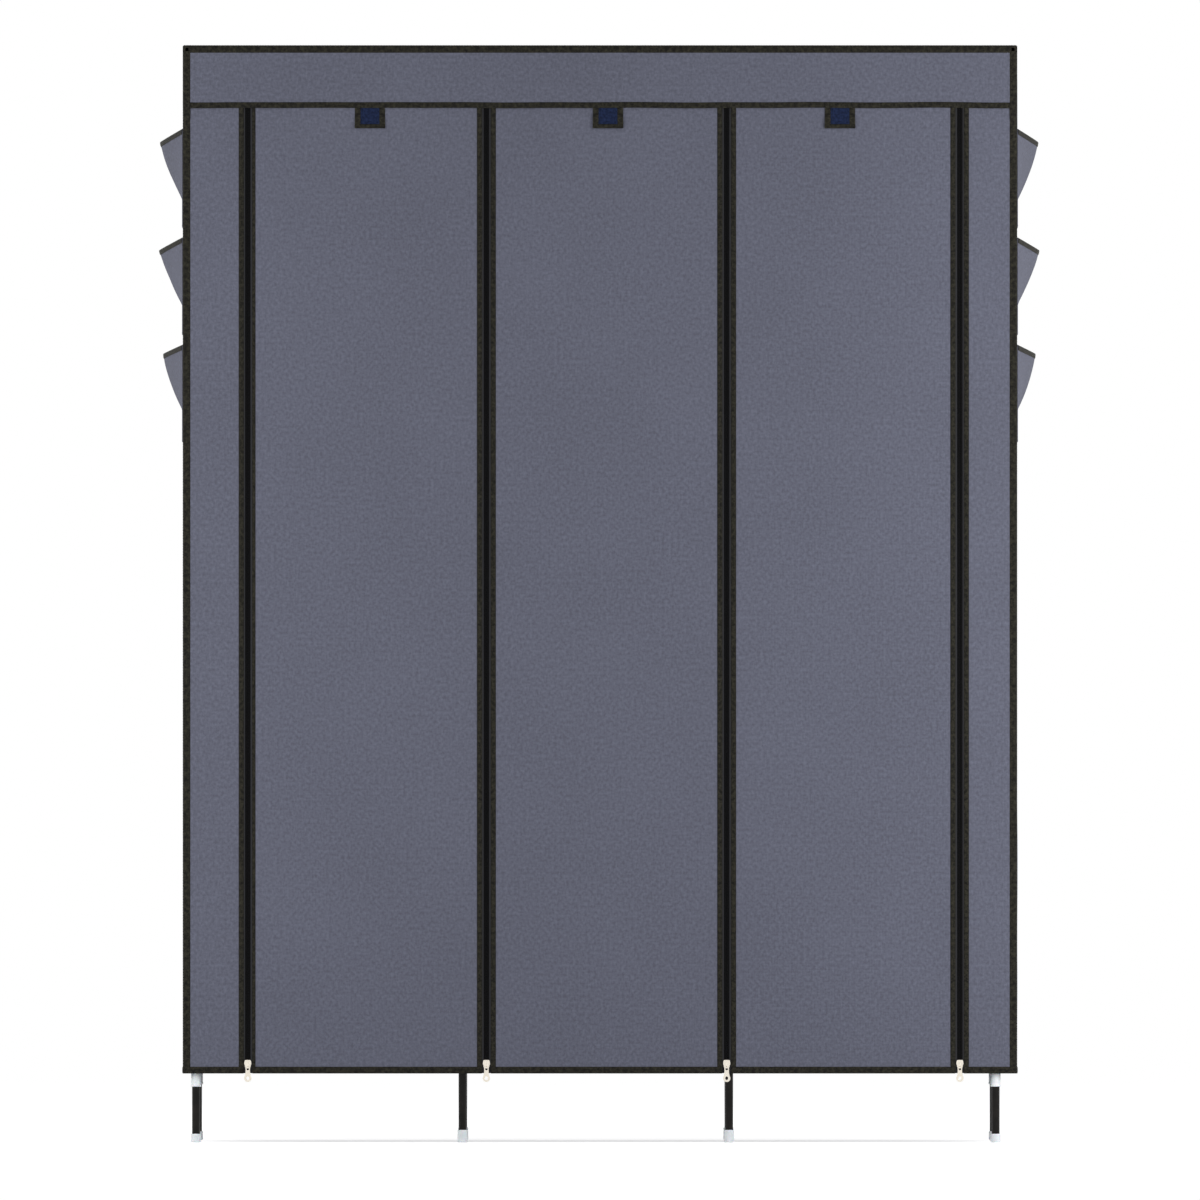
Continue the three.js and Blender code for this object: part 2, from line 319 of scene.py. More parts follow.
def nonwoven_cloth():
    """Spunbond polypropylene, hot-pressed with small bonding points: a dull cloth with mottled fibres.
    The points are 1.2 mm apart on the real cloth and drawn 2.4 mm apart, so that they show."""
    made, tree, place = new_material("nonwoven_cloth")
    fibres = spots(tree, place, 4.8, 5.0, 0.62)
    drawn = {"Vector": place, "Scale": (features(1.1), features(11), 1.0)}
    lay = add_node(tree, "ShaderNodeMapping", drawn)
    along = {"Vector": lay.outputs["Vector"], "Scale": 1.0, "Detail": 2.0}
    streaks = add_node(tree, "ShaderNodeTexNoise", along).outputs["Fac"]
    clouds = spots(tree, place, 200, 3.0)
    dots = {"Vector": place, "Scale": features(2.4), "Randomness": 0.12}
    points = add_node(tree, "ShaderNodeTexVoronoi", dots).outputs["Distance"]
    shade = mixed(tree, 0.1, mixed(tree, 0.25, fibres, streaks), clouds)
    look = {"Base Color": coloured(tree, shade, (0.39, 0.5, 0.61), CLOTH_COLOURS), "Roughness": 0.92}
    height = mixed(tree, 0.4, times(tree, points, 2.2), fibres)
    look |= {"Normal": bumped(tree, height, 0.6, 0.5), "IOR": 1.45, "Specular IOR Level": 0.15}
    return finished(made, look | {"Sheen Weight": 0.05, "Sheen Roughness": 0.6})


def binding_tape():
    """Woven polyester tape: black, ribbed along its length, with specks of brown painted in its colour as
    the sheen where the light catches it.
    The ribs are 0.6 mm apart on the real tape and drawn 1.25 mm apart, so that they show."""
    made, tree, place = new_material("binding_tape")
    speck = spots(tree, place, 2.6, 4.0, 0.75)
    ribs = {"Vector": place, "Scale": WAVE_SHARE * features(1.25), "Distortion": 1.2}
    weave = add_node(tree, "ShaderNodeTexWave", ribs, bands_direction="Y").outputs["Fac"]
    patch = spots(tree, place, 5.9, 2.0)
    ribbed = mixed(tree, 0.14, mixed(tree, 0.5, speck, patch), weave)
    # The lightest, brown colour laid in the specks is painted sheen
    look = {"Base Color": coloured(tree, ribbed, (0.42, 0.5, 0.59), TAPE_AND_SHEEN_COLOURS), "Roughness": 0.8}
    look |= {"Normal": bumped(tree, mixed(tree, 0.5, weave, speck), 0.5, 0.3), "IOR": 1.5}
    return finished(made, look | {"Specular IOR Level": 0.12, "Sheen Weight": 0.02})


def fine_yarn(name, code, size, roughness):
    """Twisted thread or a thin woven tape: one dyed colour with a small dark grain."""
    made, tree, place = new_material(name)
    grain = spots(tree, place, size, 3.0)
    shade = {0: times(tree, grain, 0.35), 6: linear(code), 7: (0, 0, 0, 1)}
    colour = add_node(tree, "ShaderNodeMix", shade, data_type="RGBA")
    look = {"Base Color": colour.outputs[2], "Normal": bumped(tree, grain, 0.3, 0.2)}
    return finished(made, look | {"Roughness": roughness, "IOR": 1.5, "Specular IOR Level": 0.12})


def loop_pile():
    """The soft half of a hook-and-loop fastener: navy nylon loops, dull with a fuzzy sheen."""
    made, tree, place = new_material("navy_loop_pile")
    loops = add_node(tree, "ShaderNodeTexVoronoi", {"Vector": place, "Scale": features(1.1)})
    tufts = spots(tree, place, 3.8, 4.0)
    look = {"Base Color": coloured(tree, tufts, (0.35, 0.7), PILE_COLOURS), "Roughness": 1.0}
    height = mixed(tree, 0.5, loops.outputs["Distance"], tufts)
    look |= {"Normal": bumped(tree, height, 0.8, 0.6), "Specular IOR Level": 0.1}
    return finished(made, look | {"Sheen Weight": 0.1, "Sheen Roughness": 0.4})


def powder_coat():
    """Thin steel tube with a baked black powder coat: semi-gloss with a faint orange-peel, and a brownish
    sheen painted in soft spots of its colour.
    """
    made, tree, place = new_material("black_powder_coat", on_cloth=False)
    peel = spots(tree, place, 1.5, 2.0)
    # Soft spots that vary the roughness as wear, and that lay a painted brownish sheen in the colour
    wear_and_sheen = spots(tree, place, 17, 5.0)
    look = {"Base Color": coloured(tree, wear_and_sheen, (0.4, 0.75), STEEL_AND_SHEEN_COLOURS)}
    look |= {"Roughness": ranged(tree, wear_and_sheen, 0.3, 0.44), "Normal": bumped(tree, peel, 0.15, 0.1)}
    return finished(made, look | {"IOR": 1.5, "Specular IOR Level": 0.12})


def moulded_plastic():
    """Injection-moulded polypropylene, pale blue-white and slightly cloudy, as on feet and connectors."""
    made, tree, place = new_material("pale_polypropylene", on_cloth=False)
    haze = spots(tree, place, 11, 3.0)
    look = {"Base Color": coloured(tree, haze, (0.35, 0.7), PLASTIC_COLOURS)}
    look |= {"Roughness": ranged(tree, haze, 0.38, 0.5), "Normal": bumped(tree, haze, 0.1, 0.2)}
    return finished(made, look | {"IOR": 1.49, "Subsurface Weight": 0.1, "Subsurface Scale": 2 * MM})


def nylon_coil():
    """Nylon monofilament zipper coil: black with small bright glints."""
    made, tree, place = new_material("black_nylon_coil")
    grain = spots(tree, place, 1.25, 2.0)
    look = {"Base Color": coloured(tree, grain, (0.4, 0.7), COIL_COLOURS)}
    return finished(made, look | {"Roughness": 0.5, "IOR": 1.53, "Specular IOR Level": 0.07})


def nickel_plate():
    """Die-cast zinc with bright nickel plating, lightly tumbled: warm silver with soft scratches."""
    made, tree, place = new_material("nickel_plate", on_cloth=False)
    scratch = spots(tree, place, 1.4, 6.0)
    look = {"Base Color": linear(NICKEL_COLOUR), "Metallic": 1.0}
    look |= {"Roughness": ranged(tree, scratch, 0.16, 0.34), "Normal": bumped(tree, scratch, 0.08, 0.1)}
    return finished(made, look)


GREY_CLOTH = nonwoven_cloth()
BINDING_TAPE = binding_tape()
THREAD = fine_yarn("polyester_thread", THREAD_COLOUR, 1.1, 0.7)
ZIP_TAPE = fine_yarn("zipper_tape", ZIP_TAPE_COLOUR, 0.9, 0.85)
LOOP_PILE = loop_pile()
POWDER_COAT = powder_coat()
PLASTIC = moulded_plastic()
COIL = nylon_coil()
NICKEL = nickel_plate()


# Mesh tools. Flat space has x across a strip, y out of the cloth and z along it.


FIRM_ANGLE = math.radians(60)


def steps(start, end, cell):
    """Even stations from start to end, about a cell apart."""
    count = max(1, round(abs(end - start) / cell))
    return [start + (end - start) * i / count for i in range(count + 1)]


def flat_strip(profile, stations, material_index=0):
    """A strip whose profile, pairs of across and out, runs along the stations.
    Its faces look towards positive out where the profile runs to positive across."""
    stations = sorted(stations)
    columns, rows = len(profile) - 1, len(stations) - 1
    run = [profile[0][0]]
    for (a, b), (c, d) in zip(profile, profile[1:]):
        run.append(run[-1] + math.hypot(c - a, d - b))
    bm = bmesh.new()
    bmesh.ops.create_grid(bm, x_segments=columns, y_segments=rows, size=0.5)
    bmesh.ops.reverse_faces(bm, faces=bm.faces)
    uv = bm.loops.layers.uv.new("cloth")
    flat = {}
    for vert in bm.verts:
        i = round((vert.co.x + 0.5) * columns)
        j = round((vert.co.y + 0.5) * rows)
        vert.co = (profile[i][0], profile[i][1], stations[j])
        flat[vert] = Vector((run[i], stations[j])) * MM
    for face in bm.faces:
        face.material_index = material_index
        for loop in face.loops:
            loop[uv].uv = flat[loop.vert]
    bm.normal_update()
    return bm


def flat_sheet(first, last, stations, cell=CELL):
    """A sheet in flat space, from first to last across."""
    return flat_strip([(x, 0.0) for x in steps(first, last, cell)], stations)


def layered(bm, thickness):
    """Gives a strip in flat space its thickness, inward from its faces, with firm edges."""
    bmesh.ops.solidify(bm, geom=bm.faces[:], thickness=thickness)
    for edge in bm.edges:
        if edge.calc_face_angle(0.0) > FIRM_ANGLE:
            edge.smooth = False
    return bm


def repeated(bm, count, pitch):
    """Copies what bm holds along z, doubling it each time, until there are count of it."""
    low = min(vert.co.z for vert in bm.verts)
    made = 1
    while made < count:
        copied = bmesh.ops.duplicate(bm, geom=bm.verts[:] + bm.edges[:] + bm.faces[:])["geom"]
        moved = [g for g in copied if isinstance(g, bmesh.types.BMVert)]
        bmesh.ops.translate(bm, verts=moved, vec=(0, 0, pitch * made))
        made *= 2
    spare = [face for face in bm.faces if face.calc_center_median().z > low + pitch * count]
    bmesh.ops.delete(bm, geom=spare, context="FACES")
    return bm


def unwrapped(bm):
    """Lays the pattern on bm from its places across and along."""
    uv = bm.loops.layers.uv["cloth"]
    for face in bm.faces:
        for loop in face.loops:
            loop[uv].uv = (loop.vert.co.x * MM, loop.vert.co.z * MM)
    return bm


def grains(size, middle, start, end, pitch, material_index):
    """A row of small rounded grains, as stitches or zipper teeth, from start to end along z."""
    bm = bmesh.new()
    bm.loops.layers.uv.new("cloth")
    bmesh.ops.create_icosphere(bm, subdivisions=1, radius=1.0, matrix=Matrix.Diagonal((*size, 1.0)))
    for face in bm.faces:
        face.material_index = material_index
    bmesh.ops.translate(bm, verts=bm.verts, vec=(middle[0], middle[1], start + pitch / 2))
    return unwrapped(repeated(bm, max(1, int((end - start) / pitch)), pitch))


def merged(parts):
    """Several bmeshes as one."""
    whole = bmesh.new()
    whole.loops.layers.uv.new("cloth")
    for part in parts:
        held = bpy.data.meshes.new("held")
        part.to_mesh(held)
        part.free()
        whole.from_mesh(held)
        bpy.data.meshes.remove(held)
    return whole


def placed(bm, place):
    """Moves each vertex from flat space to its real place."""
    for vert in bm.verts:
        vert.co = place(*vert.co)
    return bm


def piece(name, bm, materials, out=None):
    """A finished mesh object in metres. out is a direction that an open sheet's faces turn to."""
    bmesh.ops.recalc_face_normals(bm, faces=bm.faces)
    if out is not None:
        facing = sum((face.normal * face.calc_area() for face in bm.faces), Vector())
        if facing.dot(Vector(out)) < 0:
            bmesh.ops.reverse_faces(bm, faces=bm.faces)
    bmesh.ops.scale(bm, vec=(MM, MM, MM), verts=bm.verts)
    for face in bm.faces:
        face.smooth = True
    for edge in bm.edges:
        if edge.is_boundary:
            edge.smooth = False
    mesh = bpy.data.meshes.new(name)
    bm.to_mesh(mesh)
    bm.free()
    for made in materials:
        mesh.materials.append(made)
    obj = bpy.data.objects.new(name, mesh)
    bpy.context.scene.collection.objects.link(obj)
    return obj


def thicken(obj, thickness):
    """Gives an open sheet its thickness, half on each side."""
    modifier = obj.modifiers.new("thickness", "SOLIDIFY")
    modifier.thickness = thickness * MM
    modifier.offset = 0.0
    modifier.use_even_offset = False


def fitted(obj, body, nodes):
    """Where they are named, gives a piece its body and hides the CAD nodes that it stands for."""
    if body:
        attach(obj, body)
    if nodes:
        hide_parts(*nodes)
    return obj


def cloth_piece(name, bm, out=None, nodes=(), body="wardrobe"):
    """A finished sheet of the cover's cloth."""
    obj = piece(name, bm, (GREY_CLOTH,), out)
    thicken(obj, CLOTH)
    return fitted(obj, body, nodes)


def tape_piece(name, bm, body="wardrobe"):
    """A finished binding with its stitches."""
    return fitted(piece(name, bm, (BINDING_TAPE, THREAD)), body, ())


def zipper_piece(name, bm, nodes=(), body="wardrobe"):
    """Finished zipper halves: their tape, cord and coil."""
    return fitted(piece(name, bm, (ZIP_TAPE, COIL)), body, nodes)


def solid_piece(name, bm, material, nodes=(), body="wardrobe"):
    """A finished piece of steel or plastic."""
    return fitted(piece(name, bm, (material,)), body, nodes)


def metres(x, y, z):
    return (x * MM, y * MM, z * MM)


# Surfaces of the cover: each gives the place of a point from across, out and along


# Widths and heights of the waves in hung cloth, and the share of the smaller ones
BROAD_WAVE = (210, 430)
SMALL_WAVE = (70, 150)
SMALL_WAVE_SHARE = 0.3


def slack(x, z, seed, height):
    """How far cloth bellies out of its plane, from a smooth noise a few hundred millimetres wide."""
    broad = noise.noise(Vector((x / BROAD_WAVE[0], z / BROAD_WAVE[1], seed)))
    small = noise.noise(Vector((x / SMALL_WAVE[0], z / SMALL_WAVE[1], seed + 9)))
    return height * (broad + SMALL_WAVE_SHARE * small)


def fade(distance, width):
    """0 at an edge, rising smoothly to 1 at width from it."""
    t = max(0.0, min(1.0, distance / width))
    return t * t * (3 - 2 * t)


HALF_BEND = math.pi * CORNER_RADIUS / 4


def ridge(point, direction, normal_1, normal_2):
    """The place function of two square faces that meet at an edge: across is below 0 on the first."""
    point, direction = Vector(point), Vector(direction)
    normal_1, normal_2 = Vector(normal_1), Vector(normal_2)

    def place(across, out, along):
        edge = point + direction * along
        if across < -HALF_BEND:
            return edge - normal_2 * (CORNER_RADIUS - across - HALF_BEND) + normal_1 * out
        if across > HALF_BEND:
            return edge - normal_1 * (CORNER_RADIUS + across - HALF_BEND) + normal_2 * out
        angle = (across + HALF_BEND) / CORNER_RADIUS
        centre = edge - (normal_1 + normal_2) * CORNER_RADIUS
        return centre + (normal_1 * math.cos(angle) + normal_2 * math.sin(angle)) * (CORNER_RADIUS + out)

    return place


def ridge_steps(first, second, cell=CELL):
    """Stations across a ridge, from first on one face to second on the other, closest at the bend."""
    bend = steps(-HALF_BEND, HALF_BEND, BEND_CELL)
    return steps(-first, -HALF_BEND, cell)[:-1] + bend[:-1] + steps(HALF_BEND, second, cell)


def folded_edge(width):
    """The outer profile of a tape folded round a cloth edge at 0: back, fold and puffed front."""
    back = [(width * share, -TAPE_OUT) for share in (1.0, 0.6, 0.2)]
    turns = ((-0.27, -0.78), (-1.0, -0.3), (-1.0, 0.3), (-0.27, 0.78))
    puffs = ((0.1, 0.05), (0.35, 0.18), (0.7, 0.15), (0.93, 0.0), (1.0, -0.2))
    front = [(width * share, TAPE_OUT + puff) for share, puff in puffs]
    return back + [(a * FOLD_OUT, b * TAPE_OUT) for a, b in turns] + front


def stitch_row(across, out, start, end):
    return grains(STITCH, (across, out), start, end, STITCH_PITCH, 1)


def bound_edge(width, stations, place):
    """A folded tape along an edge, with its row of stitches, placed on its surface."""
    tape = layered(flat_strip(folded_edge(width), stations), TAPE)
    row = stitch_row(width - STITCH_INSET, TAPE_OUT, min(stations), max(stations))
    return placed(merged([tape, row]), place)


# Zippers


def zipper_half(stations, shift):
    """One side of a zipper in flat space: grey tape, the black cord under the coil, and the coil."""
    low, high = min(stations), max(stations)
    half = ZIP_TAPE_THICK / 2
    tape = layered(flat_strip([(COIL_HALF, half), (ZIP_TAPE_END, half)], stations), ZIP_TAPE_THICK)
    cord = layered(flat_strip([(CORD_FROM_MIDDLE, half), (COIL_HALF, half)], stations, 1), ZIP_TAPE_THICK)
    coil = grains(TOOTH, (TOOTH_FROM_MIDDLE, COIL_OUT), low + shift, high, COIL_PITCH, 1)
    return merged([tape, cord, coil])


def zipper_place(zipper, side):
    """Place function of the zipper half on one side of a zipper's middle."""
    return lambda across, out, along: Vector((zipper + side * across, FRONT + ZIP_BEHIND - out, along))


# The doors: cloth in four lengths, each meshed closely across one fold


def door_stations(low, high, fold):
    """Heights along a door length, close together where it folds."""
    upper = steps(high, fold + FOLD_BAND, CELL)
    bend = steps(fold + FOLD_BAND, fold - FOLD_BAND, FOLD_STEP)
    lower = steps(fold - FOLD_BAND, low, CELL)
    return upper + bend[1:] + lower[1:]


def door_surface(left, right, seed):
    """Place function of a door: across is x, along is z, out is towards the front."""

    def place(x, out, z):
        from_edge = min(x - left, right - x)
        belly = slack(x, z, seed, DOOR_BELLY) * fade(from_edge, CALM) * fade(z - HEM, CALM)
        wave = math.sin(math.tau * z / PUCKER_PITCH + seed)
        pucker = PUCKER * wave * (1 - fade(from_edge, PUCKER_REACH))
        return Vector((x, FRONT - out - belly + pucker, z))

    return place


def bend_across(obj, fold):
    """Bakes a piece's place into its mesh; the piece is not bent."""
    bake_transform(obj)


def make_door(door, seed):
    """A door in four lengths, each with its cloth, its edge tapes and a half of the zipper on each side."""
    number = DOORS.index(door)
    zip_left, zip_right = ZIPS[number], ZIPS[number + 1]
    left, right = zip_left + CLOTH_FROM_ZIP, zip_right - CLOTH_FROM_ZIP
    left_tape = FIRST_EDGE_TAPE if number == 0 else EDGE_TAPE
    surface = door_surface(left, right, seed)
    pitch = FOLDS[0] - FOLDS[1]
    for index, fold in enumerate(FOLDS, 1):
        panel = f"door_{door}_panel_{index}"
        high = fold + pitch / 2 if index > 1 else ROOF_Z - DOOR_UNDER_ROOF
        low = fold - pitch / 2 if index < len(FOLDS) else HEM
        stations = door_stations(low, high, fold)

        cells = flat_sheet(left, right, stations)
        nodes = (panel, f"door_{door}_top") if index == 1 else (panel,)
        cloth = cloth_piece(f"door_{door}_cloth_{index}", placed(cells, surface), (0, -1, 0), nodes, None)

        tapes = [
            bound_edge(left_tape, stations, lambda a, n, s: surface(left - TAPE_LAP + a, n, s)),
            bound_edge(EDGE_TAPE, stations, lambda a, n, s: surface(right + TAPE_LAP - a, n, s)),
        ]
        if low == HEM:
            along = steps(left - TAPE_LAP, right + TAPE_LAP, CELL)
            hem = bound_edge(BINDING, along, lambda a, n, s: surface(s, n * HEM_OVER_SHARE, HEM + a))
            tapes.append(hem)
        binding = tape_piece(f"door_{door}_binding_{index}", merged(tapes), None)

        closed = [s for s in stations if s <= VALANCE_LOW + ZIP_UNDER_VALANCE]
        halves = [
            placed(zipper_half(closed, 0.0), zipper_place(zip_left, 1)),
            placed(zipper_half(closed, COIL_PITCH / 2), zipper_place(zip_right, -1)),
        ]
        nodes = [f"zipper_chain_{number + 1}"] if index == 1 else []
        if index == 1 and door == "right":
            nodes.append("zipper_chain_4")
        zipper = zipper_piece(f"door_{door}_zipper_{index}", merged(halves), nodes, None)

        for obj in (cloth, binding, zipper):
            bend_across(obj, fold)


# The fixed cloth: side walls, back, roof and valance


def side_surface(side, strip):
    """A side wall wrapped round the front corner: across is below 0 on the strip, above 0 on the wall."""
    corner = ridge((side * WALL_X, FRONT, 0), (0, 0, 1), (0, -1, 0), (side, 0, 0))

    def place(across, out, z):
        held = fade(abs(across) - 2 * CORNER_RADIUS, CALM) * fade(z - HEM, CALM) * fade(TOP - z, CALM)
        if across < 0:
            held *= STRIP_BELLY_SHARE * fade(strip + across, STRIP_CALM)
        else:
            held *= fade(BACK - FRONT - across, CALM)
        return corner(across, out + slack(across, z, 3.0 + side, SIDE_BELLY) * held, z)

    return place


def make_side(name, side, zipper):
    """A side wall with its front strip, its tapes and its half of the outer zipper."""
    strip = WALL_X - abs(zipper) - CLOTH_FROM_ZIP
    depth = BACK - FRONT - UNDER_RIDGE
    top = ROOF_Z - UNDER_RIDGE
    surface = side_surface(side, strip)
    cells = flat_strip([(a, 0.0) for a in ridge_steps(strip, depth)], steps(HEM, top, CELL))
    cloth = cloth_piece(f"{name}_cloth", placed(cells, surface), nodes=(name,))

    edge = steps(HEM, VALANCE_LOW + TAPE_UNDER_VALANCE, CELL)
    along = ridge_steps(strip + TAPE_LAP, depth)
    tapes = [
        bound_edge(EDGE_TAPE, edge, lambda a, n, s: surface(a - strip - TAPE_LAP, n, s)),
        bound_edge(BINDING, along, lambda a, n, s: surface(s, n * HEM_OVER_SHARE, HEM + a)),
    ]
    binding = tape_piece(f"{name}_binding", merged(tapes))

    closed = steps(HEM, VALANCE_LOW + ZIP_UNDER_VALANCE, CELL)
    half = zipper_half(closed, 0.0 if side > 0 else COIL_PITCH / 2)
    half_piece = zipper_piece(f"{name}_zipper", placed(half, zipper_place(zipper, side)))


def make_back():
    half = WALL_X - UNDER_RIDGE
    top = ROOF_Z - UNDER_RIDGE
    across = steps(-half, half, CELL)

    def surface(x, out, z):
        held = fade(half - abs(x), CALM) * fade(z - HEM, CALM) * fade(TOP - z, CALM)
        return Vector((x, BACK + out + slack(x, z, 21.0, BACK_BELLY) * held, z))

    cells = flat_sheet(-half, half, steps(HEM, top, CELL))
    cloth = cloth_piece("back_cloth", placed(cells, surface), (0, 1, 0), ("back_panel",))
    hem = bound_edge(BINDING, across, lambda a, n, s: surface(s, n, HEM + a))
    binding = tape_piece("back_hem_binding", hem)


ROOF_WAVE = 90


def roof_sag(x, y):
    """The roof cloth dips between the tubes of the top frame."""
    if x < COLUMNS[0] or x > COLUMNS[3] or y < ROW_FRONT or y > ROW_BACK:
        return 0.0
    from_tubes = [abs(x - column) for column in COLUMNS] + [abs(y - ROW_FRONT), abs(y - ROW_BACK)]
    if x < COLUMNS[1] or x > COLUMNS[2]:
        from_tubes.append(abs(y - (ROW_FRONT + ROW_BACK) / 2))
    return ROOF_SAG * fade(min(from_tubes), ROOF_SAG_REACH)


def make_roof():
    half = WALL_X - UNDER_RIDGE
    front, back = VALANCE_Y + UNDER_RIDGE, BACK - UNDER_RIDGE

    def surface(x, out, y):
        ripple = ROOF_RIPPLE * noise.noise(Vector((x / ROOF_WAVE, y / ROOF_WAVE, 5.0)))
        return Vector((x, y, ROOF_Z + out - roof_sag(x, y) + ripple))

    cells = flat_sheet(-half, half, steps(front, back, CELL))
    cloth = cloth_piece("roof_cloth", placed(cells, surface), (0, 0, 1), ("roof_panel",))


SWING_WAVE = 120
DIP_WAVE = 95


def valance_surface(x, out, z):
    """The valance hangs from the front top edge, and its lower edge swings a little."""
    down = (TOP - z) / VALANCE_DEPTH
    swing = VALANCE_SWING * down * noise.noise(Vector((x / SWING_WAVE, 2.0, 4.0)))
    dip = VALANCE_DIP * down * noise.noise(Vector((x / DIP_WAVE, 7.0, 1.0)))
    return Vector((x, VALANCE_Y - out - swing, z + dip))


def make_valance():
    half = WALL_X - UNDER_RIDGE
    top = ROOF_Z - UNDER_RIDGE
    cells = flat_sheet(-half, half, steps(VALANCE_LOW, top, VALANCE_CELL))
    cloth = cloth_piece("valance_cloth", placed(cells, valance_surface), (0, -1, 0), ("front_valance",))
    along = steps(-half, half, VALANCE_CELL)
    edge = bound_edge(VALANCE_TAPE, along, lambda a, n, s: valance_surface(s, n, VALANCE_LOW + a))
    binding = tape_piece("valance_binding", edge)


def strap_surface(middle):
    """A strap hanging from under the valance, widening slightly to its foot."""
    length = VALANCE_LOW - STRAP_LOW

    def place(across, out, z):
        down = max(0.0, min(1.0, (VALANCE_LOW - z) / length))
        flare = 1 - 2 * STRAP_FLARE / STRAP_WIDTH * (1 - down)
        thickness = STRAP_TOP_OUT_SHARE + (1 - STRAP_TOP_OUT_SHARE) * down
        y = VALANCE_Y + STRAP_BEHIND - out * thickness - STRAP_LEAN * down
        return Vector((middle + across * flare, y, z))

    return place


def make_strap(number, share):
    """A strap of navy pile, bound on its sides and foot."""
    surface = strap_surface(share * 2 * HALF_WIDTH)
    half = STRAP_WIDTH / 2
    pile_half = half - STRAP_SHRINK
    across = steps(-half, half, STRAP_CELL)
    heights = steps(STRAP_LOW + STRAP_SHRINK, VALANCE_LOW + STRAP_UNDER_VALANCE, STRAP_CELL)
    cells = flat_sheet(-pile_half, pile_half, heights, STRAP_CELL)
    pile = piece(f"strap_{number}_pile", placed(cells, surface), (LOOP_PILE,), (0, -1, 0))
    thicken(pile, STRAP_PILE)
    fitted(pile, "wardrobe", ())
    over, low_over = STRAP_TAPE_OVER_SHARE, STRAP_LOW_OVER_SHARE
    tapes = [
        bound_edge(STRAP_TAPE, heights, lambda a, n, s: surface(a - half, n * over, s)),
        bound_edge(STRAP_TAPE, heights, lambda a, n, s: surface(half - a, n * over, s)),
        bound_edge(STRAP_LOW_TAPE, across, lambda a, n, s: surface(s, n * low_over, STRAP_LOW + a)),
    ]
    binding = tape_piece(f"strap_{number}_binding", merged(tapes))


def make_ridge_binding(name, place_on, length, lift=None):
    """A tape folded over a seam between two faces, with a row of stitches on each side.
    lift, where it is given, is how far the first face stands out at each place along it."""
    across = ridge_steps(BINDING, BINDING, RIDGE_CELL)
    inner = [(a, RIDGE_OUT) for a in across[1:-1]]
    profile = [(across[0], RIDGE_EDGE_OUT), *inner, (across[-1], RIDGE_EDGE_OUT)]
    parts = [layered(flat_strip(profile, steps(0, length, CELL)), TAPE)]
    parts += [stitch_row(side * (BINDING - STITCH_INSET), RIDGE_OUT, 0, length) for side in (-1, 1)]

    def place(across, out, along):
        if lift:
            out += lift(along) * max(0.0, min(1.0, (HALF_BEND - across) / (2 * HALF_BEND)))
        return place_on(across, out, along)

    tape_piece(name, placed(merged(parts), place))


LIFT_BELOW = 14.0
LIFT_LENGTH = 12.0
CORNER_FOLD = CORNER_RADIUS + 1.05


def make_cover_bindings():
    """The tapes on the four upright corners and the four top edges, and the folds where three meet."""
    tall = TOP - CLOTH - HEM
    up, front, back, top = (0, 0, 1), (0, -1, 0), (0, 1, 0), (0, 0, 1)
    folds = []

    def lift(along):
        """The front corner tape runs on over the end of the valance."""
        return (FRONT - VALANCE_Y) * fade(along + HEM - VALANCE_LOW + LIFT_BELOW, LIFT_LENGTH)

    for name, side in SIDES:
        x, wall = side * WALL_X, (side, 0, 0)
        front_edge = ridge((x, FRONT, HEM), up, front, wall)
        make_ridge_binding(f"front_corner_binding_{name}", front_edge, tall, lift)
        back_edge = ridge((x, BACK, HEM), up, back, wall)
        make_ridge_binding(f"back_corner_binding_{name}", back_edge, tall)
        side_edge = ridge((x, VALANCE_Y, ROOF_Z), back, wall, top)
        make_ridge_binding(f"top_side_binding_{name}", side_edge, BACK - VALANCE_Y)
        for y in (VALANCE_Y + CORNER_RADIUS, BACK - CORNER_RADIUS):
            folds.append(hub((x - side * CORNER_RADIUS, y, ROOF_Z - CORNER_RADIUS), CORNER_FOLD))
    for name, y, face in (("front", VALANCE_Y, front), ("back", BACK, back)):
        edge = ridge((-WALL_X, y, ROOF_Z), (1, 0, 0), face, top)
        make_ridge_binding(f"top_{name}_binding", edge, 2 * WALL_X)
    solid_piece("corner_folds", unwrapped(merged(folds)), BINDING_TAPE)


# Side pockets: slack pouches sewn to the wall, gaping at the mouth. Lists run from the top pocket down.


POCKET_BULGE = {"left": (35.5, 37.0, 30.5), "right": (33.0, 34.5, 28.5)}
POCKET_REACH = (103.0, 99.0, 96.0)
POCKET_SAG = (18.8, 18.4, 12.8)
POCKET_RISE = (3.0, 1.0, 1.0)
POCKET_POWER = (1.3, 1.25, 1.55)
POCKET_RIPPLE = 1.6
POCKET_WAVE = (55, 60)
POCKET_RIPPLE_IN = 0.5
POCKET_RIPPLE_REACH = 20.0
POCKET_FROM_WALL = 1.1
POCKET_CELL = 7.0
POCKET_SEAM = 3.0
POCKET_SEAM_OUT = 0.55


def pocket_surface(side, node, bulge, index):
    """Place function of a pocket: across is y, along is z, and the mouth sags and leans out."""
    low, high = span(node)
    middle = (low.y + high.y) / 2
    half = (high.y - low.y) / 2
    seed = (low.z + high.z) / 20 + side
    sag, rise = POCKET_SAG[index], POCKET_RISE[index]

    def place(y, out, z):
        across = max(0.0, math.cos(math.pi / 2 * (y - middle) / half))
        below = high.z - z
        share = max(0.0, min(1.0, below / POCKET_REACH[index]))
        lean = bulge * across * (1 - share ** POCKET_POWER[index])
        wave = POCKET_RIPPLE * noise.noise(Vector((y / POCKET_WAVE[0], z / POCKET_WAVE[1], seed)))
        ripple = max(-POCKET_RIPPLE_IN, wave * across * fade(below, POCKET_RIPPLE_REACH))
        drop = (sag * across - rise) * (1 - below / (high.z - low.z))
        return Vector((side * (HALF_WIDTH + POCKET_FROM_WALL + lean + out + ripple), y, z - drop))

    return place


